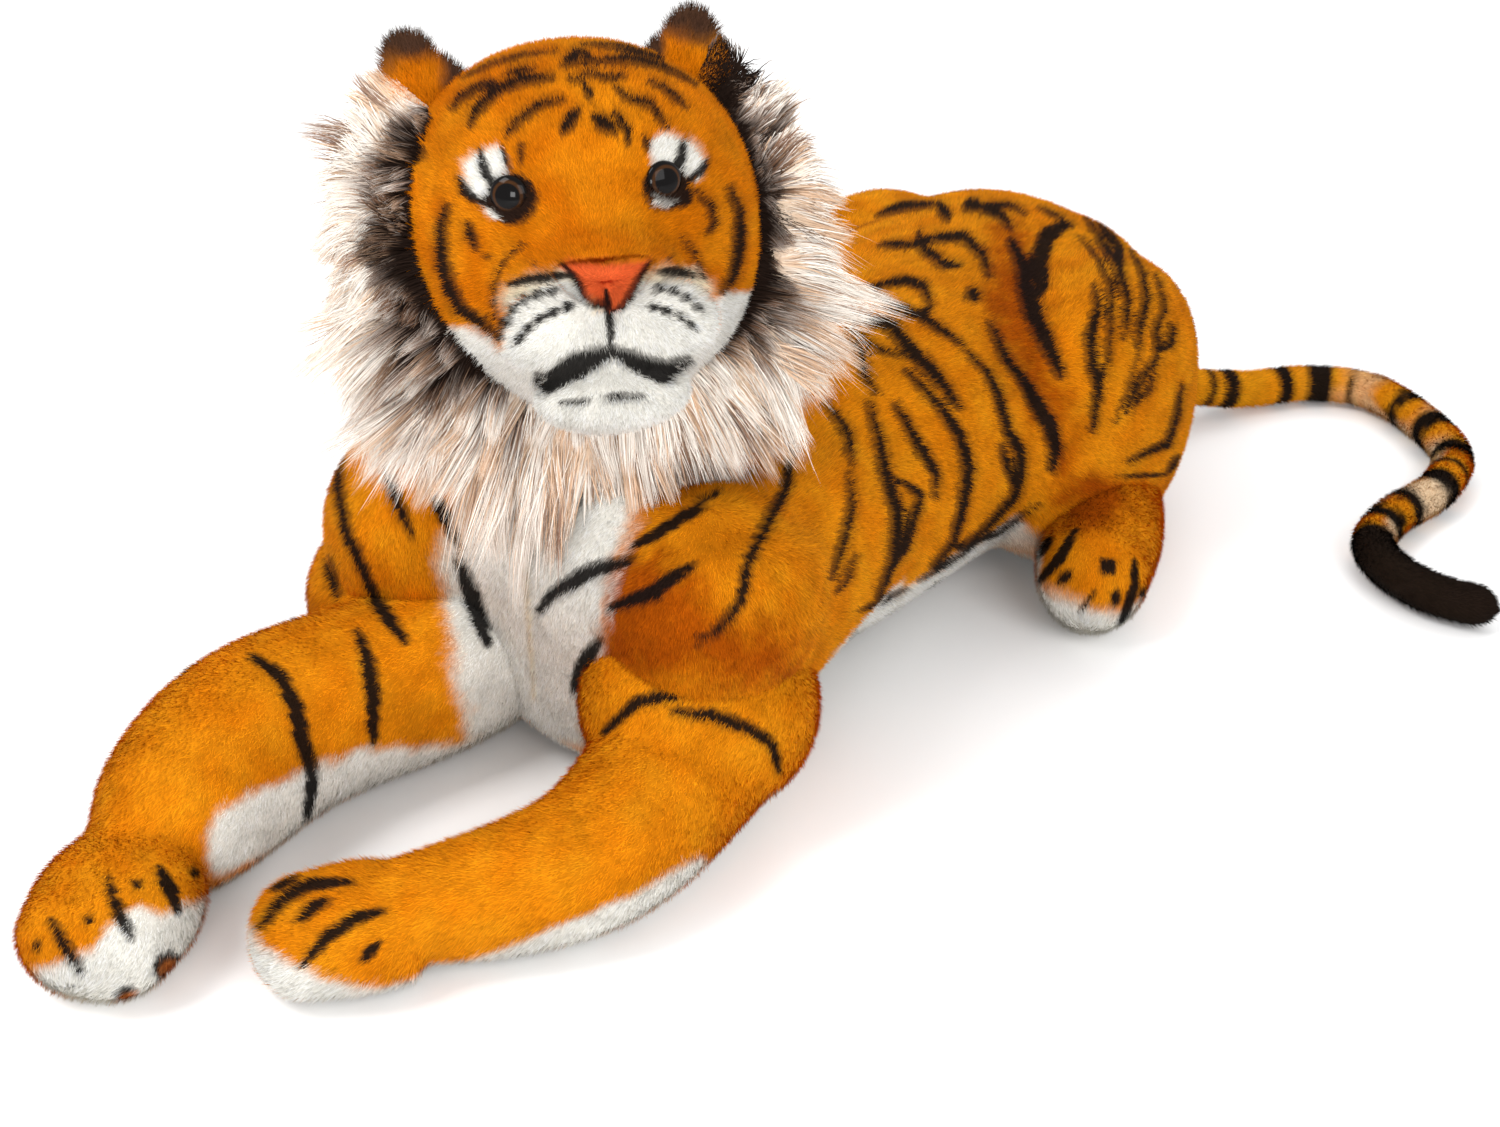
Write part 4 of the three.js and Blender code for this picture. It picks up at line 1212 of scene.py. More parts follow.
FACE_MARKS = Marks((
    (8, 449, 108, 460, 96, 476, 86, 492, 78), (11, 468, 124, 476, 108, 496, 88, 521, 78, 553, 76),
    (8, 504, 135, 519, 118, 541, 102, 564, 97), (5, 460, 76, 492, 61, 525, 52, 558, 48), (4, 502, 71, 537, 64),
    (7, 562, 61, 578, 49, 590, 53), (8, 560, 63, 590, 59, 627, 57, 660, 63, 698, 82),
    (6, 582, 41, 623, 45, 664, 55), (7, 584, 69, 607, 76, 627, 73), (8, 649, 78, 668, 88, 688, 106),
    (8, 615, 84, 627, 96, 651, 102, 668, 127), (7, 584, 82, 592, 98), (11, 562, 131, 578, 108),
    (12, 594, 114, 615, 131), (8, 615, 110, 627, 127, 629, 143), (6, 566, 76, 584, 78),
    (8, 479, 149, 484, 173, 495, 185), (8, 458, 176, 464, 192, 480, 202), (5, 502, 147, 507, 167),
    (5, 521, 141, 519, 163), (8, 684, 139, 682, 159, 672, 167), (7, 709, 159, 702, 171, 688, 180),
    (6, 645, 135, 649, 149), (12, 445, 204, 439, 229, 441, 261, 447, 286, 460, 310, 480, 322, 496, 339),
    (4, 525, 241, 502, 261, 492, 286, 492, 310, 503, 340), (8, 466, 222, 474, 249), (5, 486, 257), (5, 533, 263),
    (11, 731, 186, 741, 212, 741, 245, 735, 278, 725, 292), (7, 698, 190, 712, 205, 716, 222, 709, 233),
    (5, 672, 257), (4, 682, 235, 696, 253, 709, 282), (9, 421, 146, 415, 160), (8, 507, 284, 533, 278, 572, 274),
    *dashed(9, 503, 326, 510, 308, 527, 296, 562, 287), *dashed(9, 516, 343, 533, 322, 552, 312, 575, 304),
    (8, 660, 271, 680, 271, 698, 276), *dashed(8, 656, 286, 682, 292, 704, 312),
    *dashed(8, 649, 306, 677, 313, 698, 330), (19, 613, 352, 593, 360, 572, 369, 553, 381, 545, 390),
    (15, 611, 352, 630, 360, 648, 368, 668, 371, 690, 362), (12, 535, 376, 546, 388), (12, 652, 374, 672, 380),
    (5, 558, 404, 590, 402), (5, 600, 399, 619, 397, 647, 398),
    (6, 560, 262, 570, 272, 578, 285, 583, 298, 594, 306), (7, 590, 305, 602, 306, 612, 313),
    (6, 652, 260, 642, 276, 634, 292, 626, 304, 616, 312), (6, 606, 290, 608, 305, 611, 330, 611, 350),
    (43, 511, 198), (39, 667, 186), (10, 488, 196, 480, 204), (12, 690, 190, 684, 204),
), extra=0.8)
BROWS = (
    Patch((462, 163, 474, 151, 500, 145, 509, 163, 502, 180, 484, 200, 468, 196), Dye.WHITE, 2.5),
    Patch((649, 141, 668, 131, 692, 141, 709, 161, 700, 180, 672, 167, 653, 163), Dye.WHITE, 2.5),
)
LIDS = (
    Patch((484, 206, 493, 212, 500, 219, 490, 218, 484, 212), Dye.WHITE, 1.5),
    Patch((652, 196, 662, 201, 676, 203, 668, 207, 655, 203), Dye.WHITE, 1.5),
)
LOWER_FACE = Patch((
    446, 329, 465, 327, 486, 338, 499, 352, 503, 325, 510, 301, 533, 287, 563, 280, 580, 287, 587, 305, 593, 313,
    614, 315, 629, 305, 644, 284, 665, 279, 695, 282, 710, 295, 715, 303, 725, 294, 744, 292, 775, 290, 765, 350,
    720, 420, 610, 470, 500, 450, 435, 400, 425, 340,
), Dye.WHITE, 4.0)
MUZZLE_TOP = Patch((
    500, 300, 505, 285, 540, 272, 575, 270, 585, 285, 590, 300, 632, 300, 640, 280, 660, 266, 700, 268, 716, 290,
    700, 300, 600, 330, 510, 330,
), Dye.CREAM, 6.0)
NOSE_RED = Patch((
    559, 263, 575, 259, 602, 262, 629, 261, 652, 260, 646, 271, 637, 281, 631, 296, 623, 305, 614, 313, 604, 309,
    596, 304, 584, 296, 575, 278, 565, 269,
), Dye.RED, 3.5)
# Painted shadow: deep orange on the shoulder, where the head and ruff shade it.
SHOULDER_SHADOW = Patch((590, 560, 650, 550, 720, 610, 800, 640, 810, 700, 700, 680, 590, 680), Dye.DEEP, 30.0)
BIB_SEAM = Patch((514, 480, 518, 520, 524, 600, 532, 700, 535, 700, 528, 600, 522, 520, 517, 480), Dye.CREAM, 3.0)
BIB = Patch((
    500, 430, 470, 470, 440, 560, 452, 660, 470, 740, 530, 760, 585, 745, 600, 640, 610, 570, 640, 500, 650, 430,
), Dye.WHITE, 12.0)


def coloured(points: Array, deep: float = 0.3, gold: float = 0.12) -> Array:
    """Golden orange cloth, deeper in broad clouds and lighter in fine ones.

    Args:
        points: places in metres.
        deep: how much of the deep dye to mix in.
        gold: how much of the golden dye to mix in.

    Returns:
        A colour for each place.
    """
    broad, fine = soft_noise(points, 0.07, 11), soft_noise(points, 0.018, 12)
    colour = mixed(np.tile(Dye.ORANGE.rgb, (len(points), 1)), Dye.DEEP.rgb, np.clip(deep + 0.25 * broad, 0, 1))
    return mixed(colour, Dye.GOLD.rgb, np.clip(gold + 0.3 * fine, 0, 1))


def white_under(points: Array, normals: Array, height: float, turn: float = -0.35) -> Array:
    """How white the underside is: below a height, and where the skin looks down past a turn.

    Args:
        points: places in metres.
        normals: the skin's directions there.
        height: where the white ends, in metres.
        turn: how far down the skin looks there, as the upward share of its direction.

    Returns:
        A share of white for each place.
    """
    fine = soft_noise(points, 0.012, 21)
    low = 1 - smoothstep(height - 0.007, height + 0.007, points[:, 2] + 0.005 * fine)
    down = 1 - smoothstep(turn - 0.15, turn + 0.15, normals[:, 2] + 0.15 * fine)
    return np.maximum(low * (normals[:, 2] < 0.35), down)


def body_ground(points: Array, normals: Array) -> Array:
    """Orange with a white belly.

    Args:
        points: places in metres.
        normals: the skin's directions there.

    Returns:
        A colour for each place.
    """
    belly = smoothstep(-0.14, -0.08, points[:, 1]) * (1 - smoothstep(0.16, 0.24, points[:, 1]))
    down = 1 - smoothstep(-0.5, -0.36, normals[:, 2] + 0.05 * soft_noise(points, 0.012, 22))
    white = np.maximum(white_under(points, normals, 0.02, -0.8), belly * down)
    return mixed(coloured(points, 0.1, 0.4), Dye.WHITE.rgb, white)


def leg_ground(points: Array, normals: Array) -> Array:
    """Orange with a white underside; its orange is lightened towards gold all over, a painted light on the well-lit
    legs.
    """
    return mixed(coloured(points, 0.0, 0.4), Dye.WHITE.rgb, white_under(points, normals, 0.016, -0.7))


def foot_ground(points: Array, normals: Array) -> Array:
    """Orange with white toes and sole.

    Args:
        points: places in metres.
        normals: the skin's directions there.

    Returns:
        A colour for each place.
    """
    edge = points[:, 2] + 0.35 * (points[:, 1] - 0.16) + 0.01 * soft_noise(points, 0.015, 23)
    white = np.maximum(white_under(points, normals, 0.02, -0.6), 1 - smoothstep(0.03, 0.06, edge))
    return mixed(coloured(points, 0.05, 0.35), Dye.WHITE.rgb, white)


def banded(points: Array, way: Array, pitch: float, share: float, seed: int) -> Array:
    """Wavering stripes across a direction, broken here and there.

    Args:
        points: places in metres.
        way: the direction that the stripes follow one another in.
        pitch: the distance from one stripe to the next, in metres.
        share: how wide a stripe is, as a share of the pitch.
        seed: changes the pattern.

    Returns:
        A share of black for each place.
    """
    phase = points @ way * 2 * math.pi / pitch + 1.5 * soft_noise(points, 0.06, seed)
    edge = math.cos(math.pi * share)
    stripe = smoothstep(edge - 0.08, edge + 0.08, np.cos(phase) + 0.16 * soft_noise(points, 0.008, seed + 1))
    return stripe * smoothstep(-0.25, -0.05, soft_noise(points, 0.045, seed + 2))


def body_stripes(points: Array, normals: Array) -> Array:
    """Stripes down the sides, and one above another on the rump, off the belly.

    Args:
        points: places in metres.
        normals: the skin's directions there.

    Returns:
        A share of black for each place.
    """
    rear = smoothstep(0.45, 0.75, normals[:, 1])
    sides = banded(points, np.array([0.0, 1.0, 0.3]), 0.052, 0.2, 31)
    rump = banded(points, np.array([0.0, 0.3, 1.0]), 0.046, 0.2, 37)
    return (sides * (1 - rear) + rump * rear) * smoothstep(0.03, 0.06, points[:, 2])


def neck_stripes(points: Array, _normals: Array) -> Array:
    """Stripes round the back of the neck."""
    return banded(points, np.array([0.0, 0.2, 1.0]), 0.045, 0.2, 51)


def leg_stripes(points: Array, _normals: Array) -> Array:
    """Stripes round the unseen side of a leg."""
    return banded(points, np.array([0.25, 1.0, 0.0]), 0.085, 0.12, 41) * smoothstep(0.02, 0.04, points[:, 2])


@dataclass
class Trunk:
    """The body: torso, shoulders, chest and haunches under one sewn skin."""

    front: float = -239.32
    rear: float = 532.68
    half_width: float = 159.0
    middle: float = 158.0
    shoulder: float = 172.0
    shoulder_height: float = 264.0
    right_advance: float = 30.0
    cap_share: float = 0.095
    cuts: tuple[float, float] = (-0.02, 0.27)
    torso_shares: tuple = (
        (0, 0.82, 0.48, 1), (0.1, 0.9, 0.62, 1), (0.2, 0.96, 0.77, 1), (0.31, 1, 0.92, 1), (0.43, 1, 1, 1),
        (0.56, 1, 0.97, 1), (0.69, 1, 0.96, 1), (0.81, 0.97, 0.96, 1), (0.92, 0.92, 0.8, 1), (1, 0.84, 0.46, 1),
    )

    def torso(self) -> StuffedForm:
        """The barrel of the body, lying on its belly.

        Returns:
            The form.
        """
        cap = (self.rear - self.front) * self.cap_share
        return StuffedForm(
            spine=SmoothCurve([(0, self.front + cap, self.middle), (0, self.rear - cap, self.middle)]),
            stations=scaled(self.torso_shares, self.half_width, self.middle),
            cap_start=cap, cap_end=cap, roundness=2.1, roundness_below=1.85,
        )

    def shoulder_form(self, side: Side) -> StuffedForm:
        """One upright shoulder over the root of its leg.

        Args:
            side: which of the tiger's sides.

        Returns:
            The form.
        """
        advance, shares = 0.0, ((0.06, 0, 0.64), (0.04, 0.04, 0.7), (-0.08, 0, 0.8))
        if side is Side.RIGHT:
            advance, shares = self.right_advance, ((0.16, 0.02, 0.52), (0.1, 0.06, 0.65), (-0.06, 0, 0.8))
        route = [
            (
                side.value * (123 + aside * self.shoulder),
                self.front + 40 - advance - ahead * self.shoulder,
                rise * self.shoulder_height,
            )
            for aside, ahead, rise in shares
        ]
        return StuffedForm(
            spine=SmoothCurve(route),
            stations=scaled(((0, 0.9, 1.02), (0.5, 1, 1.08), (1, 0.82, 0.92)), self.shoulder / 2, self.shoulder / 2),
            cap_start=52.8, cap_end=52.8, up=AHEAD,
        )

    def forms(self) -> list[StuffedForm]:
        """Every form of the body. The last fills the saddle between the rump and the left haunch.

        Returns:
            The forms, in millimetres.
        """
        chest = self.front + 20
        made = [
            self.torso(),
            round_form((0, chest, 122), (134, 58, 121), roundness=2.2),
            round_form((0, chest, 170), (192, 66, 106), roundness=2.2),
        ]
        for side in Side:
            sign = side.value
            flank = SmoothCurve([(sign * 118, -185, 160), (sign * 84, 60, 165)])
            made += [
                self.shoulder_form(side),
                StuffedForm(flank, scaled(((0, 1, 1), (0.5, 0.9, 0.95), (1, 0.8, 0.8)), 78, 92), 60.0, 50.0),
                round_form((sign * 120, self.front + 545, 145.5), (84, 145, 146), roundness=2.3),
            ]
        made.append(round_form((50, 370, 200), (100, 70, 95)))
        return made

    def flow(self, points: Array, normals: Array) -> Array:
        """The pile lies back along the body, and down at the front and the sides.

        Args:
            points: places in metres.
            normals: the skin's directions there.

        Returns:
            The way that the pile lies at each place.
        """
        front = 1 - smoothstep(-0.24, -0.12, points[:, 1])
        side = np.abs(normals[:, 0])
        return np.stack([0.15 * normals[:, 0], 1.0 - 1.05 * front, -0.25 - 0.35 * side - 0.9 * front], axis=1)

    def build(self, finishes: Finishes) -> None:
        """Makes the body's skin and its pile in three cuts.

        Args:
            finishes: the materials.
        """
        mesh = fused("body", self.forms(), 6.0, 28)
        # The fold and shoulder patches are painted shade; the bib is the white chest fur.
        coat = Coat(body_ground, (*FOLD_SHADE, SHOULDER_SHADOW, BIB), FLANK_MARKS, True, body_stripes, (BIB_SEAM,))
        low, high = self.cuts
        made = PlushPiece("body", mesh, coat, Pile(), self.flow, finishes, seed=7).dress((
            ("front_pile", lambda p, n: p[:, 1] < low),
            ("middle_pile", lambda p, n: (p[:, 1] >= low) & (p[:, 1] < high)),
            ("rump_pile", lambda p, n: p[:, 1] >= high),
        ))
        hold(
            made, "trunk", "torso", "belly_panel", "chest_panel", "left_shoulder", "right_shoulder", "left_haunch",
            "right_haunch",
        )


@dataclass
class FrontLeg:
    """A front leg and its paw under one skin, which bends at the wrist.

    The route has shares of the reach, aside and ahead, and the swell has a share of the way from
    the elbow to the wrist and the width and height there.
    """

    side: Side
    advance: float
    reach: float
    turn: float
    route: tuple[tuple[float, float], ...]
    swell: tuple[tuple[float, float, float], ...]
    paw_half: tuple[float, float]
    patches: tuple[Patch, ...]
    extra: StuffedForm
    late: tuple[Patch, ...] = ()
    paw_aside: float = 0.0
    paw_length: float = 122.0
    elbow_place: tuple[float, float, float] = (104.0, -183.32, 80.5)
    elbow_radius: float = 81.0
    wrist_radius: float = 41.0
    wrist_height: float = 49.0
    give: tuple[float, float] = (0.035, 0.03)

    def elbow(self) -> Array:
        """The middle of the leg's root."""
        aside, along, height = self.elbow_place
        return np.array([self.side.value * aside, along - self.advance, height])

    def places(self) -> list[Array]:
        """The route's places.

        Returns:
            The places, in millimetres, from the elbow to the wrist.
        """
        x, y, z = self.elbow()
        sign, reach, drop = self.side.value, self.reach, self.wrist_height - z
        return [
            np.array([x + sign * aside * reach, y - ahead * reach, z + drop * ahead]) for aside, ahead in self.route
        ]

    def heading(self) -> Array:
        """The way the paw points."""
        turn = math.radians(self.turn) * -self.side.value
        return np.array([math.sin(turn), -math.cos(turn), 0.0])

    def forms(self) -> list[StuffedForm]:
        """The tapering leg and the paw.

        Returns:
            The forms, in millimetres, with the leg first.
        """
        rows = []
        height = self.elbow()[2]
        for share, wide, tall in self.swell:
            half = self.elbow_radius + (self.wrist_radius - self.elbow_radius) * share
            rows.append([share, half * wide, half * tall, height + (self.wrist_height - height) * share])
        rows[0][3], rows[-1][3] = self.elbow_radius, self.wrist_radius
        places = self.places()
        leg = StuffedForm(SmoothCurve(places), np.array(rows), self.elbow_radius, self.wrist_radius)
        heel, cap = self.paw_length * 0.1, self.paw_length * 0.3
        start = np.array([places[-1][0] + self.paw_aside, places[-1][1], self.paw_half[1] - 0.5])
        paw = StuffedForm(
            SmoothCurve([start, start + self.heading() * (self.paw_length - heel - cap)]),
            scaled(((0, 0.86, 0.97, 1), (0.45, 1, 1, 1), (1, 0.93, 0.86, 1)), *self.paw_half),
            heel, cap, roundness=2.2,
        )
        return [leg, paw, self.extra]

    def build(self, finishes: Finishes) -> None:
        """Makes the leg's skin and pile.

        Args:
            finishes: the materials.
        """
        name = f"{self.side.word}_front_leg"
        forms = self.forms()
        mesh = fused(name, forms, 4.5, 6)
        spine = forms[0].spine
        wrist, heading = spine.at(1.0) * MM, self.heading()

        def flow(points: Array, normals: Array) -> Array:
            """The pile lies along the leg, then along the paw.

            Args:
                points: places in metres.
                normals: the skin's directions there.

            Returns:
                The way that the pile lies at each place.
            """
            way = spine.tangent(spine.nearest(points / MM))
            past = smoothstep(-0.02, 0.02, (points - wrist) @ heading)[:, None]
            return way * (1 - past) + heading * past - UP * 0.25

        coat = Coat(leg_ground, self.patches, LEG_MARKS, False, leg_stripes, self.late)
        made = PlushPiece(name, mesh, coat, Pile(), flow, finishes, seed=20 + self.side.value).dress()
        paw = f"{self.side.word}_front_paw"
        ends = (wrist - heading * self.give[0], wrist + heading * self.give[1])
        bend(made, (name, paw), ends, name, paw, f"{self.side.word}_front_sole")


@dataclass
class HindFoot:
    """A hind foot that shows in front of its haunch."""

    side: Side
    length: float = 222.0
    half: tuple[float, float] = (57.0, 59.0)
    ankle: tuple[float, float, float] = (159.33, 292.6, 58.5)
    heading: tuple[float, float] = (0.454, -0.891)

    def build(self, finishes: Finishes) -> None:
        """Makes the foot's skin and pile.

        Args:
            finishes: the materials.
        """
        sign, name = self.side.value, f"{self.side.word}_hind_foot"
        heading = np.array([sign * self.heading[0], self.heading[1], 0.0])
        ankle = np.array([sign * self.ankle[0], *self.ankle[1:]])
        form = StuffedForm(
            SmoothCurve([ankle, ankle + heading * (self.length - 2 * self.half[1])]),
            scaled(((0, 0.96, 0.96, 1), (0.45, 1, 1, 1), (1, 0.9, 0.84, 1)), *self.half), self.half[1], self.half[1],
        )
        mesh = fused(name, [form], 4.0, 3)
        coat = Coat(foot_ground, FOOT_PATCHES, FOOT_MARKS, True)
        made = PlushPiece(name, mesh, coat, Pile(), everywhere(heading - UP * 0.5), finishes, seed=30 + sign).dress()
        hold(made, name, name, f"{self.side.word}_hind_sole")


@dataclass
class Tail:
    """The long tail: a tube in four lengths, each spanning one joint, with black bands."""

    radius: float = 23.5
    inner: float = 20.5
    cap: float = 16.0
    overlap: float = 0.012
    give: float = 0.028
    length: float = 860.0
    rise: float = 62.0
    root: tuple[float, float] = (6.0, 504.68)
    route: tuple[tuple[float, float, float], ...] = (
        (0, 0, 1), (0.025, 0.05, 0.75), (0.065, 0.125, 0.28), (0.107, 0.197, 0.03), (0.152, 0.262, 0),
        (0.22, 0.294, 0), (0.315, 0.251, 0), (0.378, 0.19, 0), (0.398, 0.1, 0), (0.388, 0.015, 0),
        (0.4, -0.058, 0), (0.444, -0.098, 0), (0.497, -0.112, 0), (0.532, -0.106, 0),
    )
    breaks: tuple[float, ...] = (0.0, 0.12, 0.32, 0.52, 0.72, 1.0)
    bodies: tuple[str, ...] = ("tail_root", "tail_upper", "tail_middle", "tail_lower", "tail_tip")
    lengths: tuple[str, ...] = ("tail_base", "tail_second_length", "tail_third_length", "tail_end")
    bands: tuple[tuple[float, float], ...] = (
        (0.06, 0.006), (0.1, 0.008), (0.14, 0.007), (0.178, 0.004), (0.208, 0.008), (0.286, 0.009), (0.337, 0.014),
        (0.385, 0.004), (0.462, 0.01), (0.527, 0.013), (0.598, 0.014), (0.64, 0.006), (0.685, 0.012),
        (0.748, 0.013), (0.8, 0.012),
    )
    black_from: float = 0.835

    def curve(self) -> SmoothCurve:
        """The tail's middle line.

        Returns:
            The line, in millimetres.
        """
        return SmoothCurve([
            (self.root[0] + aside * self.length, self.root[1] + back * self.length, 23 + rise * self.rise)
            for aside, back, rise in self.route
        ])

    def build(self, finishes: Finishes) -> None:
        """Makes the four lengths, which meet halfway between the joints.

        Args:
            finishes: the materials.
        """
        curve = self.curve()
        middles = [(a + b) / 2 for a, b in zip(self.breaks[1:-2], self.breaks[2:-1])]
        for number, (start, end) in enumerate(zip([0.0, *middles], [*middles, 1.0])):
            self.add_length(curve, number, start, end, finishes)

    def ground(self, curve: SmoothCurve) -> Field:
        """The tail's dyes: orange, pale between some bands, black bands and a black end.

        Args:
            curve: the tail's middle line.

        Returns:
            What gives the colour at places.
        """

        def dyes(points: Array, normals: Array) -> Array:
            """The colour at each place.

            Args:
                points: places in metres.
                normals: the skin's directions there.

            Returns:
                A colour for each place.
            """
            share = curve.nearest(points / MM) + 0.003 * soft_noise(points, 0.01, 61)
            pale = smoothstep(-0.2, 0.3, soft_noise(points, 0.04, 62) - 0.3 * normals[:, 2])
            colour = mixed(coloured(points, 0.0, 0.75), Dye.CREAM.rgb, 0.85 * pale * smoothstep(0.3, 0.5, share))
            dark = smoothstep(self.black_from - 0.008, self.black_from + 0.008, share)
            for place, half in self.bands:
                dark = np.maximum(dark, 1 - smoothstep(half * 1.15 - 0.002, half * 1.15 + 0.002, np.abs(share - place)))
            return mixed(colour, Dye.BLACK.rgb, 0.99 * dark)

        return dyes

    def add_length(self, curve: SmoothCurve, number: int, start: float, end: float, finishes: Finishes) -> None:
        """Adds one length, whose surface is the circle of the tail's radius moved along its line.

        Args:
            curve: the whole tail's middle line.
            number: which length, from the root.
            start, end: its shares of the whole line.
            finishes: the materials.
        """
        last = number == len(self.lengths) - 1
        spine = SmoothCurve(curve.at(np.linspace(start - self.overlap if number else start, end, 16)))
        stations = scaled(((0, 1, 1), (1, 1, 1)), self.inner, self.inner)
        form = StuffedForm(spine, stations, self.cap, self.radius if last else self.cap, around=40)
        places, faces = form.surface()
        name = self.lengths[number]
        mesh = shell(name, places * MM, faces)

        def flow(points: Array, _normals: Array) -> Array:
            """The pile lies towards the tip."""
            return curve.tangent(curve.nearest(points / MM))

        piece = PlushPiece(
            name, mesh, Coat(self.ground(curve)), Pile(length=7.5, density=0.6), flow, finishes,
            Slot.BLACK if last else Slot.ORANGE, fill=0.9, seed=40 + number,
        )
        joint = self.breaks[number + 1]
        before, after = (curve.at(joint + step) * MM for step in (-self.give, self.give))
        replaced = self.bodies[number + 1 : number + 2] if number else self.bodies[:2]
        bend(piece.dress(), self.bodies[number : number + 2], (before, after), *replaced)


@dataclass
class HeadFrame:
    """The head's own frame: it looks along local -Y, turned and tilted about its middle."""

    place: tuple[float, float, float] = (-1.0, -204.32, 437.0)
    turn: float = 50.0
    lift: float = -12.0
    roll: float = -2.0

    def axes(self) -> Array:
        """The local axes as columns: a turn about Z, then a tilt about X, then a roll about Y.

        Returns:
            The axes, shape (3, 3).
        """
        (zc, zs), (xc, xs), (yc, ys) = (
            (math.cos(angle), math.sin(angle)) for angle in np.radians([self.turn, self.lift, self.roll])
        )
        about_z = np.array([[zc, -zs, 0], [zs, zc, 0], [0, 0, 1]])
        about_x = np.array([[1, 0, 0], [0, xc, -xs], [0, xs, xc]])
        about_y = np.array([[yc, 0, ys], [0, 1, 0], [-ys, 0, yc]])
        return about_z @ about_x @ about_y

    def out(self, points: Array) -> Array:
        """Local millimetres to row metres."""
        return (np.asarray(points) @ self.axes().T + np.array(self.place)) * MM

    def direction(self, vectors: Array) -> Array:
        """Local directions to row directions."""
        return np.asarray(vectors) @ self.axes().T

    def local(self, points: Array) -> Array:
        """Row metres to local millimetres."""
        return (points / MM - np.array(self.place)) @ self.axes()

    def move(self, mesh: bpy.types.Mesh) -> None:
        """Moves a mesh made in local metres to the row frame.

        Args:
            mesh: the mesh, which is changed.
        """
        moved = self.out(read(mesh.vertices, "co") / MM)
        mesh.vertices.foreach_set("co", moved.astype(np.float32).ravel())
        mesh.update()


@dataclass
class Head:
    """The head, with its muzzle, nose, eyes, ears and neck, in the head's own frame."""

    at: HeadFrame = field(default_factory=HeadFrame)
    skull_half: tuple[float, float, float] = (130.0, 118.0, 135.0)
    pad_aside: float = 35.2
    eye_radius: float = 13.0
    eye_bulge: float = 6.5
    eye_back: float = -3.0
    eye_turn: float = 20.0
    eye_place: tuple[float, float, float] = (51.0, -96.6, 44.0)
    ear_lean: float = 12.0
    nose_half: float = 31.0
    nose_rise: float = 7.0
    nose_back: float = 10.0
    nose_tilt: float = 18.0
    nose_place: tuple[float, float, float] = (0.0, -177.0, -1.0)
    neck_place: tuple[float, float, float] = (0.0, -143.32, 303.0)
    neck_radius: float = 76.0
    nape_from: float = -10.0

    def forms(self) -> list[StuffedForm]:
        """Skull, snout, muzzle pads and chin.

        Returns:
            The forms, in the head's own millimetres.
        """
        skull = round_form((0, 0, 0), self.skull_half, roundness=2.15)
        snout = StuffedForm(
            SmoothCurve([(0, -59, -15), (0, -148, -30), (0, -157, -30)]),
            scaled(((0, 1, 1.05, 1), (0.6, 0.95, 0.85, 0.95), (1, 0.72, 0.62, 0.8)), 65, 52), 29.5, 21.0,
        )
        pads = [round_form((x, -157.3, -38), (40, 31, 30)) for x in (-self.pad_aside, self.pad_aside)]
        return [skull, snout, *pads, round_form((0, -148, -84), (54, 35, 27))]

    def eye_middle(self, sign: int) -> Array:
        """The middle of one eye."""
        return np.array(self.eye_place) * (sign, 1, 1)

    def flow(self, points: Array, _normals: Array) -> Array:
        """The pile parts at the nose and lies outwards over the face.

        Args:
            points: places in metres.
            _normals: the skin's directions, which don't matter here.

        Returns:
            The way that the pile lies at each place.
        """
        away = self.at.local(points) - np.array([0.0, -175.0, -6.0])
        away[:, 2] += 0.25 * np.abs(away[:, 0]) * (away[:, 2] > 0)
        return self.at.direction(unit(away))

    def keep(self, points: Array, _normals: Array) -> Array:
        """Leaves the eyes and the nose bare, and thins the pile at the back.

        Args:
            points: places in metres.
            _normals: the skin's directions, which don't matter here.

        Returns:
            The share of the pile to keep at each place.
        """
        local = self.at.local(points)
        aside, depth, height = local.T
        nose = np.abs(aside) < 24 - 0.55 * np.clip(6 - height, 0, 40)
        bare = nose & (depth < -150) & (np.abs(height + 8) < 14)
        for sign in (-1, 1):
            bare |= np.linalg.norm(local - self.eye_middle(sign), axis=1) < self.eye_radius - 2.0
        return np.where(bare, 0.0, np.where(depth < self.nape_from, 1.0, 0.6))

    def ground(self, points: Array, _normals: Array) -> Array:
        """Orange above, white on the throat side.

        Args:
            points: places in metres.
            _normals: the skin's directions, which don't matter here.

        Returns:
            A colour for each place.
        """
        local = self.at.local(points)
        throat = (1 - smoothstep(-102, -88, local[:, 2])) * (local[:, 1] < -20)
        muzzle = (1 - smoothstep(-52, -44, local[:, 2])) * (local[:, 1] < -120)
        return mixed(coloured(points, 0.2, 0.15), Dye.WHITE.rgb, np.maximum(throat, muzzle))

    def stripes(self, points: Array, _normals: Array) -> Array:
        """Stripes across the back of the head."""
        return banded(self.at.local(points) * MM, np.array([0.2, 0.3, 1.0]), 0.05, 0.17, 71)

    def build(self, finishes: Finishes) -> None:
        """Makes every piece of the head.

        Args:
            finishes: the materials.
        """
        mesh = fused("head", self.forms(), 3.6, 5)
        self.at.move(mesh)
        patches = (*BROWS, MUZZLE_TOP, LOWER_FACE, NOSE_RED)
        coat = Coat(self.ground, patches, FACE_MARKS, False, self.stripes, LIDS)
        pile = Pile(length=6.5, width=0.68, density=1.15, stray=0.34)
        made = PlushPiece(
            "head", mesh, coat, pile, self.flow, finishes, keep=self.keep, fill=0.9, seed=3
        ).dress((
            ("face_pile", lambda p, n: self.at.local(p)[:, 1] < self.nape_from),
            ("nape_pile", lambda p, n: self.at.local(p)[:, 1] >= self.nape_from),
        ))
        hold(made, "head", "skull", "snout", "left_muzzle_pad", "right_muzzle_pad", "chin")
        for side in Side:
            self.add_ear(side, finishes)
            self.add_eye(side, finishes)
        self.add_nose(coat, finishes)
        Ruff(self.at).build(finishes)
        self.add_neck(finishes)

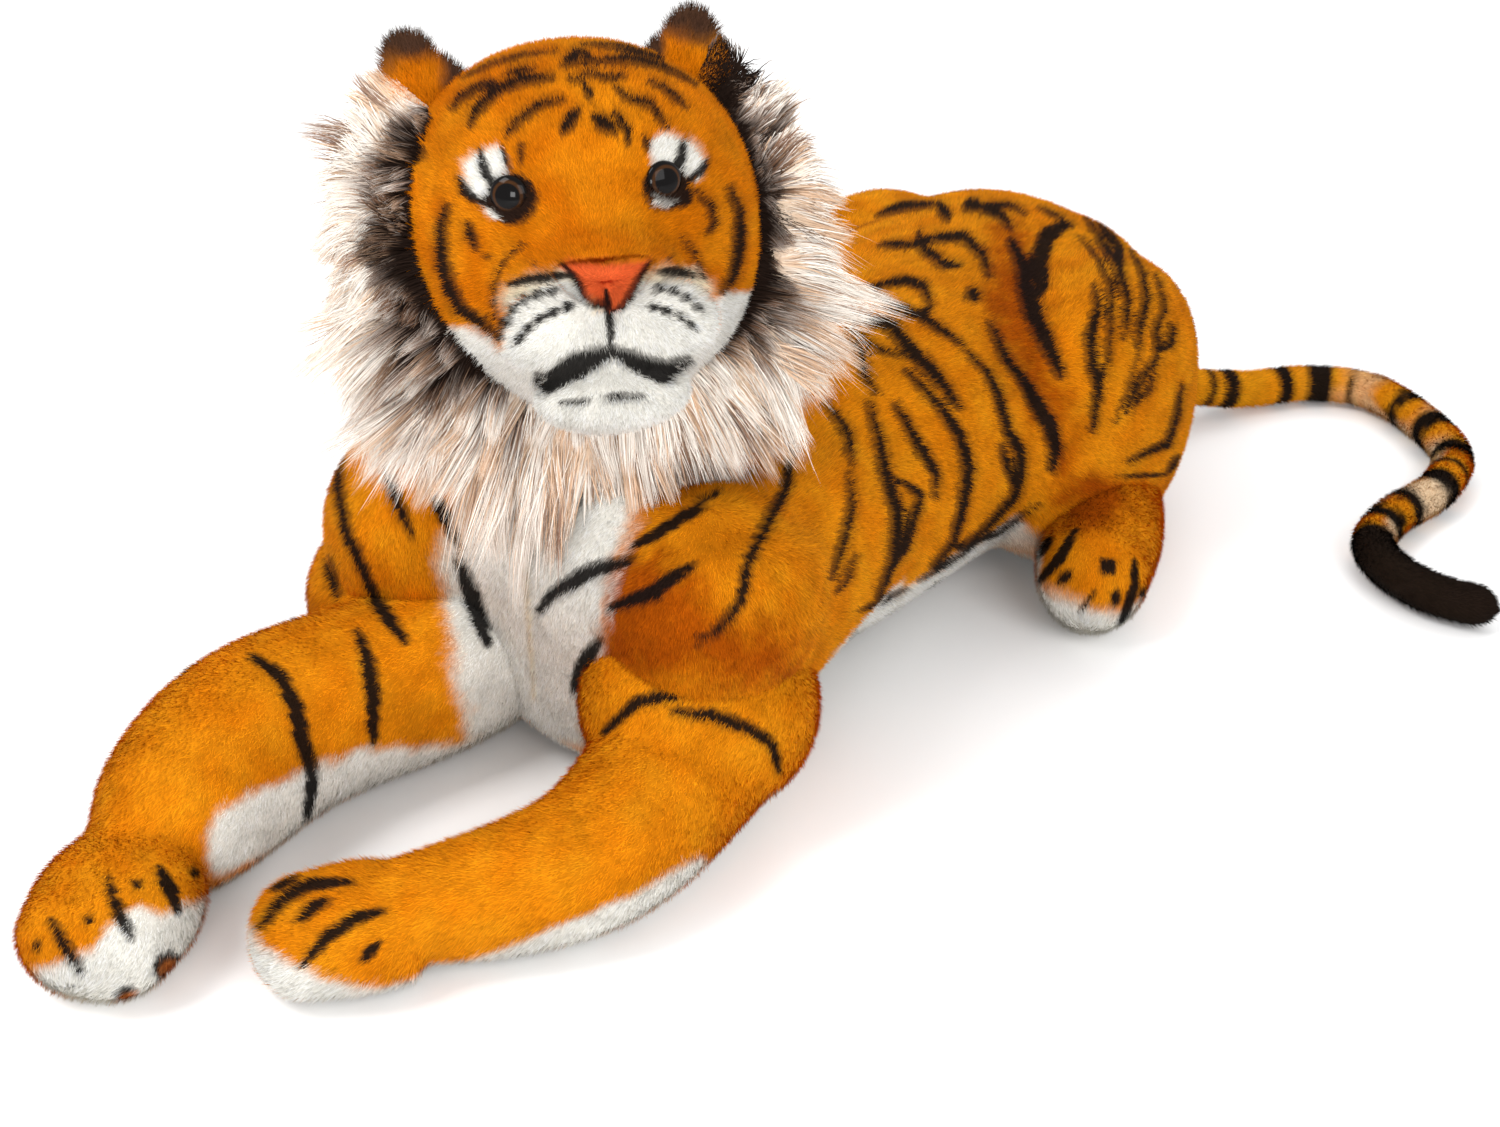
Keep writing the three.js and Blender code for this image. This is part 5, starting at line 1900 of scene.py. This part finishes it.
    def add_neck(self, finishes: Finishes) -> None:
        """Adds the stuffed neck that the head turns on: a ball inside a short sleeve.

        Args:
            finishes: the materials.
        """
        sleeve = StuffedForm(
            SmoothCurve([(0, -120, 262), (0, -140, 310), (0, -172, 372)]),
            scaled(((0, 1.12, 1.1), (0.5, 1, 1), (1, 0.9, 0.9)), 92, 84), 30.0, 40.0, up=AHEAD,
        )
        mesh = fused("neck", [round_form(self.neck_place, (self.neck_radius,) * 3), sleeve], 5.0, 4)
        coat = Coat(lambda p, n: coloured(p), unseen=neck_stripes)
        made = PlushPiece(
            "neck", mesh, coat, Pile(density=0.3), everywhere(-UP + 0.2), finishes, fill=0.8, seed=5
        ).dress()
        hold(made, "neck", "neck")

    def add_ear(self, side: Side, finishes: Finishes) -> None:
        """Adds one rounded ear with a dark rim.

        Args:
            side: which of the tiger's sides.
            finishes: the materials.
        """
        lean, name = math.radians(self.ear_lean), f"{side.word}_ear"
        root = np.array([side.value * 91 - 6, 16.0, 90.0])
        tall = np.array([side.value * math.sin(lean), 0.0, math.cos(lean)])
        stations = scaled(((0, 1, 1, 1), (0.5, 1.06, 0.9, 0.9), (1, 0.66, 0.5, 0.6)), 34, 12)
        form = StuffedForm(SmoothCurve([root, root + tall * 34]), stations, 12.0, 24.0, up=AHEAD)
        mesh = fused(name, [form], 2.5, 2)
        self.at.move(mesh)

        def ground(points: Array, normals: Array) -> Array:
            """Orange in front, dark at the tip and behind.

            Args:
                points: places in metres.
                normals: the skin's directions there.

            Returns:
                A colour for each place.
            """
            local = self.at.local(points)
            up_ear = (local - root) @ tall + 6 * soft_noise(points, 0.01, 81)
            inward = -side.value * (local - root)[:, 0] + 4 * soft_noise(points, 0.008, 82)
            behind = smoothstep(0.1, 0.6, (normals @ self.at.axes())[:, 1])
            dark = np.maximum(smoothstep(33, 43, up_ear), behind * smoothstep(5, 20, up_ear))
            dark = np.maximum(dark, smoothstep(9, 20, inward) * smoothstep(4, 16, up_ear))
            return mixed(coloured(points, 0.3), Dye.SMOKE.rgb * 0.6, 0.95 * dark)

        pile = Pile(length=10.5, width=0.7, density=1.6, lean=40.0, stray=0.5)
        made = PlushPiece(
            name, mesh, Coat(ground), pile, everywhere(self.at.direction(tall)), finishes, fill=0.7,
            seed=90 + side.value,
        ).dress()
        hold(made, name, name, name + "_lining")

    def add_eye(self, side: Side, finishes: Finishes) -> None:
        """Adds a domed eye: a cap of a sphere with a black pupil in a brown iris.

        Args:
            side: which of the tiger's sides.
            finishes: the materials.
        """
        rings, around = 28, 48
        share = np.linspace(0, 1, rings)[1:]
        angle = np.linspace(0, 2 * math.pi, around, endpoint=False)
        out = np.concatenate([share, [1.0, 0.96]]) * self.eye_radius
        rise = np.concatenate([self.eye_bulge * np.sqrt(1 - 0.93 * share**2), [1.0, self.eye_back]])
        dome = np.stack([
            np.outer(out, np.cos(angle)), np.outer(out, np.sin(angle)), np.repeat(rise[:, None], around, axis=1)
        ], axis=2).reshape(-1, 3)
        points = np.vstack([dome, [[0, 0, self.eye_bulge], [0, 0, self.eye_back]]])
        turn = math.radians(self.eye_turn)
        gaze = np.array([side.value * math.sin(turn), -math.cos(turn), 0.0])
        across = unit(np.cross(UP, gaze))
        placed = points @ np.stack([across, np.cross(gaze, across), gaze]) + self.eye_middle(side.value)
        mesh = shell(f"{side.word}_eye", self.at.out(placed), closed_faces(len(out), around, flipped=True))
        set_smooth(mesh)
        reach = np.linalg.norm(points[:, :2], axis=1) / self.eye_radius
        ring = smoothstep(0.62, 0.68, reach) * (1 - smoothstep(0.76, 0.84, reach))
        set_colours(mesh, mixed(np.tile(Dye.PUPIL.rgb, (len(points), 1)), Dye.IRIS.rgb, ring))
        set_face_map(mesh, Surface.of_mesh(mesh))
        piece = add_object(f"{side.word}_eye_dome", mesh, finishes.eye)
        hold([piece], "head", f"{side.word}_eye")
        log.info("%s: dome of %d places", piece.name, len(points))

    def add_nose(self, coat: Coat, finishes: Finishes) -> None:
        """Adds the velvet nose: a rounded triangle, raised like a cushion, under a very short nap.

        Its outline is a squared circle that narrows below, and it rises by the square root of what
        is left of the way to its edge, with a groove down its lower half.

        Args:
            coat: the head's dyes, which the nose shares.
            finishes: the materials.
        """
        rings, around = 14, 72
        angle = np.linspace(0, 2 * math.pi, around, endpoint=False)
        x, z = np.cos(angle), np.sin(angle)
        wide = np.where(z > 0, self.nose_half, self.nose_half - 18.0 * np.abs(z) ** 1.3)
        tall = np.where(z > 0, 9.0 - 3.0 * (1 - np.abs(x)), 22.0)
        outline = np.stack([np.sign(x) * np.abs(x) ** 0.8 * wide, tall * z], axis=1)
        share = np.linspace(0, 1, rings)[1:]
        flat = share[:, None, None] * outline
        rise = self.nose_rise * np.sqrt(1 - share**2 * 0.96)[:, None]
        groove = 1.8 * np.exp(-((flat[..., 0] / 3.5) ** 2)) * (flat[..., 1] < 0)
        depth = -(rise - groove) + 0.008 * flat[..., 0] ** 2
        cushion = np.stack([flat[..., 0], depth, flat[..., 1]], axis=2).reshape(-1, 3)
        skirt = np.insert(outline * 0.98, 1, self.nose_back, axis=1)
        points = np.vstack([cushion, skirt, [[0, -self.nose_rise, 0], [0, self.nose_back, 0]]])
        tilt = math.radians(self.nose_tilt)
        cos, sin = math.cos(tilt), math.sin(tilt)
        placed = points @ np.array([[1, 0, 0], [0, cos, sin], [0, -sin, cos]]) + np.array(self.nose_place)
        mesh = shell("nose", self.at.out(placed), closed_faces(rings, around, flipped=True))
        pile = Pile(length=4.6, width=0.5, density=5.0, lean=44.0, stray=0.6)
        made = PlushPiece("nose", mesh, coat, pile, self.flow, finishes, Slot.NOSE, fill=0.9, seed=95).dress()
        hold(made, "head", "nose")


@dataclass
class Ruff:
    """The ruff: three arcs of dark backing round the face, and long strands that fan out from them.

    An arc has its name and its ends, in degrees from the head's left, and the reaches say how long
    the strands are at each angle.
    """

    at: HeadFrame
    radius: float = 140.0
    half: tuple[float, float] = (26.0, 16.0)
    cap: float = 20.0
    skull: tuple[float, float] = (131.0, 118.0)
    per_degree: int = 210
    tuft_size: int = 110
    segments: int = 4
    arcs: tuple[tuple[str, float, float], ...] = (
        ("left_ruff", 44.0, -34.0), ("throat_ruff", -38.0, -142.0), ("right_ruff", 214.0, 138.0),
    )
    reaches: tuple[tuple[float, float], ...] = (
        (-180, 0.66), (-160, 0.7), (-140, 0.92), (-90, 1), (-40, 0.98), (-10, 0.93), (5, 0.66), (20, 0.5),
        (40, 0.85), (55, 0.85), (62, 0.4), (135, 0.5), (152, 0.72), (180, 0.66),
    )

    @staticmethod
    def depth_at(angle: Array) -> Array:
        """How far back the ruff's ring stands: least below the chin."""
        return 26 - 56 * (1 - np.sin(angle)) / 2

    @staticmethod
    def darkness(angle: Array) -> Array:
        """How dark the ruff starts: both sides are dark, and under the chin is pale.

        Args:
            angle: the way round the face, from the head's left.

        Returns:
            A share for each angle.
        """
        height, aside = np.sin(angle), np.cos(angle)
        sides = smoothstep(-0.87, -0.6, height) * (1 - 0.3 * smoothstep(0.5, 0.9, height))
        return sides + 0.35 * (smoothstep(0.05, 0.6, -aside) * (1 - smoothstep(-0.9, -0.6, height)))

    def build(self, finishes: Finishes) -> None:
        """Adds the backing and the strands of each arc.

        Args:
            finishes: the materials.
        """
        for number, (name, first, last) in enumerate(self.arcs):
            backing = self.backing(name, first, last, finishes)
            strands = self.strands(name + "_strands", first, last, 100 + number)
            hair = add_object(name + "_strands", strands, finishes.pile)
            hold([backing, hair], "head", name)
            log.info("%s: %d faces of strands", name, len(strands.polygons))

    def backing(self, name: str, first: float, last: float, finishes: Finishes) -> bpy.types.Object:
        """Makes one arc's backing: a flattened tube along the ring, darkest near the face, in darkened cream and smoke
        as painted shade under the strands.

        Args:
            name: the arc's name.
            first, last: its ends, in degrees.
            finishes: the materials.

        Returns:
            The backing.
        """
        angles = np.radians(np.linspace(first, last, 9))
        ring = np.stack([self.radius * np.cos(angles), self.depth_at(angles), self.radius * np.sin(angles)], axis=1)
        stations = scaled(((0, 0.7, 0.7), (0.5, 1, 1), (1, 0.7, 0.7)), *self.half)
        places, faces = StuffedForm(SmoothCurve(ring), stations, self.cap, self.cap, up=AHEAD, around=32).surface()
        mesh = shell(name, self.at.out(places), faces)
        set_smooth(mesh)
        surface = Surface.of_mesh(mesh)
        local = self.at.local(surface.points)
        reach, turn = np.hypot(local[:, 0], local[:, 2]), np.arctan2(local[:, 2], local[:, 0])
        dark = self.darkness(turn) * (1 - smoothstep(136, 154, reach))
        # Darkened copies of cream and smoke, and full dark over the top of the arc, are painted shade under the
        # strands; the dark near the face follows the ruff's dark roots.
        shade = np.maximum(dark, 0.65 * self.darkness(turn)) + 0.5 * smoothstep(0.2, 0.5, np.sin(turn))
        set_colours(mesh, mixed(Dye.CREAM.rgb * 0.62, Dye.SMOKE.rgb * 0.3, np.clip(shade, 0, 1)))
        set_face_map(mesh, surface)
        backing = add_object(name + "_backing", mesh, finishes.skin)
        return backing

    def strands(self, name: str, first: float, last: float, seed: int) -> bpy.types.Mesh:
        """Makes one arc's long strands.

        Roots fill a band round the face. Those in front are short and dark; those behind are long,
        dark at the root and pale at the end. A third stand on the backing. Beside the ear they all
        go back, behind it.

        Args:
            name: the mesh's name.
            first, last: the arc's ends, in degrees from the head's left.
            seed: fixes the random draw.

        Returns:
            The strands as one mesh.
        """
        rng = np.random.default_rng(seed)
        count = int(self.per_degree * abs(first - last))
        degrees = rng.uniform(min(first, last) - 3, max(first, last) + 3, count)
        angle = np.radians(degrees)
        depth = rng.uniform(0, 1, count)
        forward = 24 + 26 * smoothstep(0.3, 0.95, -np.cos(angle))
        place_y = self.depth_at(angle) - forward + (32 + forward) * depth
        skull = self.skull[0] * np.sqrt(np.clip(1 - (place_y / self.skull[1]) ** 2, 0.2, 1))
        radius = skull - 5 + 20 * np.sqrt(rng.random(count)) * depth
        behind = rng.random(count) < 0.35
        radius = np.where(behind, rng.uniform(130, 160, count), radius)
        tube = 15 * np.sqrt(np.clip(1 - ((radius - self.radius) / self.half[0]) ** 2, 0, 1))
        place_y = np.where(behind, self.depth_at(angle) - tube, place_y)
        depth = np.where(behind, 0.55 + 0.3 * (radius - 130) / 30, depth)
        left_top = degrees < 90
        by_ear = smoothstep(26, 34, degrees) * left_top * np.where(behind, 0.0, 1.0)
        place_y = place_y + by_ear * (34 + 16 * depth - place_y)
        roots = np.stack([radius * np.cos(angle), place_y, radius * np.sin(angle)], axis=1)
        tuft, fine, wave = (
            np.stack([soft_noise(roots * MM, cell, seed + start + k) for k in range(many)])
            for cell, start, many in ((0.018, 0, 4), (0.007, 7, 4), (0.026, 20, 3))
        )
        sweep = smoothstep(0.05, 0.4, np.sin(angle)) * (np.cos(angle) > 0)
        outward = np.stack([np.cos(angle), -0.3 + 0.75 * depth + 0.3 * by_ear, np.sin(angle)], axis=1)
        outward = outward + 0.5 * tuft[:3].T + 0.16 * fine[:3].T
        outward[:, 2] += 0.55 * sweep
        reach = np.interp((degrees + 180) % 360 - 180, *zip(*self.reaches))
        uneven = rng.uniform(0.6, 1.2, count) * (1 + 0.35 * tuft[3]) * (1 + 0.3 * fine[3])
        length = (30 + 40 * smoothstep(0.05, 0.5, depth)) * uneven * reach * np.where(behind, 0.8, 1.0)
        beside_ear = behind * smoothstep(28, 38, degrees) * left_top
        length *= 1 - 0.45 * beside_ear
        dark = np.clip(1.25 - 1.7 * depth, 0, 1.0) * self.darkness(angle) + 0.22 * tuft[3] + 0.16 * fine[3]
        dark += 0.5 * by_ear + 0.7 * beside_ear + 0.3 * sweep
        curl = 0.45 * wave.T + rng.normal(0, 0.08, (count, 3))
        return self.fan(name, roots, outward, curl, length, dark, rng)

    def fan(
        self, name: str, roots: Array, outward: Array, curl: Array, length: Array, dark: Array, rng: np.random.Generator
    ) -> bpy.types.Mesh:
        """Turns roots and directions into tapering strands that curve down under their weight.

        The strands gather in tufts: each is drawn towards the path of the tuft's leading strand,
        and more so towards its end.

        Args:
            name: the mesh's name.
            roots: where the strands stand, in the head's frame.
            outward: the way that each leaves its root.
            curl: how far each bends away at its end, as a share of its length.
            length: each strand's length in millimetres.
            dark: how dark each one starts.
            rng: the random draw, which goes on here.

        Returns:
            The strands as one mesh.
        """
        count = len(roots)
        leaders = rng.choice(count, count // self.tuft_size, replace=False)
        leader = leaders[nearest_index(roots, roots[leaders])]
        length[leaders] *= 1.15
        pull = rng.uniform(0.3, 0.85, count)
        curl, start = self.at.direction(curl), self.at.out(roots)
        way = self.at.direction(unit(outward + rng.normal(0, 0.1, (count, 3))))
        across = unit(np.cross(way, self.at.direction(AHEAD) + rng.normal(0, 0.35, (count, 3))))
        normal = unit(np.cross(across, way))
        normal *= np.sign((normal * self.at.direction(np.array([0.0, -1.0, 0.2]))).sum(1, keepdims=True))
        across = np.cross(way, normal)
        half = rng.uniform(0.28, 0.6, count) * MM
        rows, shares = [], np.arange(self.segments + 1) / self.segments
        for share in shares:
            reach = (length * MM * share)[:, None]
            centre = start + way * reach + (curl * share - UP * 0.26 * share**1.6) * reach
            centre = mixed(centre, centre[leader], pull * share**1.3)
            side = across * (half * (1 - share) ** 0.6)[:, None]
            rows += [centre - side, centre + side]
        rows[-2:] = [centre]
        colours = self.strand_colours(np.repeat(shares, 2)[:-1], dark, leader, rng)
        return blade_mesh(name, rows, unit(normal + 0.3 * way), colours, box_map(start, normal)[:, None])

    @staticmethod
    def strand_colours(share: Array, dark: Array, leader: Array, rng: np.random.Generator) -> Array:
        """Colours strands from a dark or warm root over a middle shade to one of three pale ends.

        Args:
            share: how far along a strand each of its places lies.
            dark: how dark each strand starts.
            leader: the strand that leads each one's tuft, whose shades it mostly takes.
            rng: the random draw, which goes on here.

        Returns:
            A colour for each place of each strand, shape (strands, places, 3).
        """
        count = len(dark)
        change = np.clip(0.05 + 0.88 * dark + rng.normal(0, 0.08, count), 0.0, 1.2)
        change = 0.6 * change + 0.4 * change[leader]
        drawn = rng.random(count)[:, None]
        drawn = np.where(rng.random((count, 1)) < 0.6, drawn[leader], drawn)
        pale = np.where(drawn < 0.26, Dye.TAN.rgb, np.where(drawn < 0.38, Dye.TAUPE.rgb, Dye.IVORY.rgb))
        pale = pale * rng.uniform(0.8, 1.1, count)[:, None]
        blend = smoothstep(-0.36, 0.3, share - change[:, None])[..., None]
        is_dark = (dark > 0.25)[:, None]
        root = np.where(is_dark, Dye.UMBER.rgb, Dye.SAND.rgb * 0.8)
        middle = np.where(is_dark, Dye.CHESTNUT.rgb, Dye.LINEN.rgb)
        between = (1 - np.abs(2 * blend - 1)) * 0.8
        return (root[:, None] * (1 - blend) + pale[:, None] * blend) * (1 - between) + middle[:, None] * between


@dataclass
class Studio:
    """A pale floor under soft square lights.

    A light has its name, its place and its aim in metres, its side in metres and its power in watts.
    """

    half: float = 6.0
    grey: float = 0.93
    glow: float = 0.9
    lights: tuple[tuple, ...] = (
        ("key_light", (-0.7, -1.7, 2.6), (0.0, -0.1, 0.15), 1.3, 50.0),
        ("camera_light", (1.3, -2.4, 0.8), (0.0, -0.2, 0.25), 0.6, 20.0),
        ("fill_light", (2.6, -1.0, 1.8), (0.0, 0.0, 0.2), 1.8, 42.0),
        ("rim_light", (-0.6, 2.2, 2.4), (0.0, 0.2, 0.2), 1.8, 20.0),
    )

    def build(self) -> None:
        """Adds the floor, the lights, the white surroundings and the camera."""
        corners = self.half * np.array([(-1.0, -1.0, 0.0), (1.0, -1.0, 0.0), (1.0, 1.0, 0.0), (-1.0, 1.0, 0.0)])
        material = bpy.data.materials.new("floor_paper")
        material.use_nodes = True
        paper = {"Base Color": (self.grey, self.grey, self.grey, 1.0), "Roughness": 0.9}
        set_inputs(material.node_tree.nodes["Principled BSDF"], paper)
        floor = add_object("floor", shell("floor", corners, [(0, 1, 2, 3)]), material)
        world = bpy.data.worlds.new("studio")
        bpy.context.scene.world = world
        world.use_nodes = True
        set_inputs(world.node_tree.nodes["Background"], {"Color": (1.0, 1.0, 1.0, 1.0), "Strength": self.glow})
        for light in self.lights:
            self.add_light(*light)
        bpy.context.scene.view_settings.view_transform = "Standard"
        VIEW.make()

    @staticmethod
    def add_light(name: str, place: Sequence[float], aim: Sequence[float], size: float, power: float) -> None:
        """Adds a square soft light.

        Args:
            name: the light's name.
            place: where it hangs, in metres.
            aim: what it points at.
            size: the length of its side.
            power: its power in watts.
        """
        data = bpy.data.lights.new(name, "AREA")
        data.shape, data.size, data.energy = "SQUARE", size, power
        light = bpy.data.objects.new(name, data)
        bpy.context.scene.collection.objects.link(light)
        back = unit(np.array(place) - np.array(aim))
        right = unit(np.cross(UP, back))
        light.matrix_world = stood(right, np.cross(back, right), back, place)


LEFT_LEG = FrontLeg(
    Side.LEFT, advance=0.0, reach=306.0, turn=38.0, paw_half=(55.0, 41.0),
    route=((0, 0), (0.1, 0.24), (0.15, 0.6), (-0.05, 1)),
    swell=((0, 1, 1), (0.3, 0.96, 0.84), (0.65, 1.04, 0.76), (0.87, 1.0, 0.82), (1, 1, 0.9)),
    patches=LEFT_LEG_PATCHES, extra=round_form((118, -218, 96), (95, 90, 88)),
)
RIGHT_LEG = FrontLeg(
    Side.RIGHT, advance=30.0, reach=368.0, turn=29.0, paw_half=(61.0, 46.0), paw_aside=8.0,
    route=((0, 0), (-0.01, 0.2), (0.07, 0.6), (-0.02, 1)),
    swell=((0, 1, 1), (0.3, 1.06, 1.08), (0.65, 1.42, 1.5), (0.87, 1.44, 1.5), (1, 1.05, 1.05)),
    patches=(BIB, *RIGHT_LEG_PATCHES), late=PAW_PADS, extra=round_form((-172, -258, 98), (74, 76, 74)),
)


def main() -> None:
    """Builds the whole scene on the frame."""
    logging.basicConfig(level=logging.INFO, format="%(name)s: %(message)s")
    finishes = Finishes()
    for piece in (Trunk(), LEFT_LEG, RIGHT_LEG, HindFoot(Side.LEFT), HindFoot(Side.RIGHT), Tail(), Head()):
        piece.build(finishes)
    for side in Side:
        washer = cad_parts[f"{side.word}_eye_washer"]
        washer.data.materials.clear()
        washer.data.materials.append(finishes.washer)
    Studio().build()


if __name__ == "__main__":
    main()
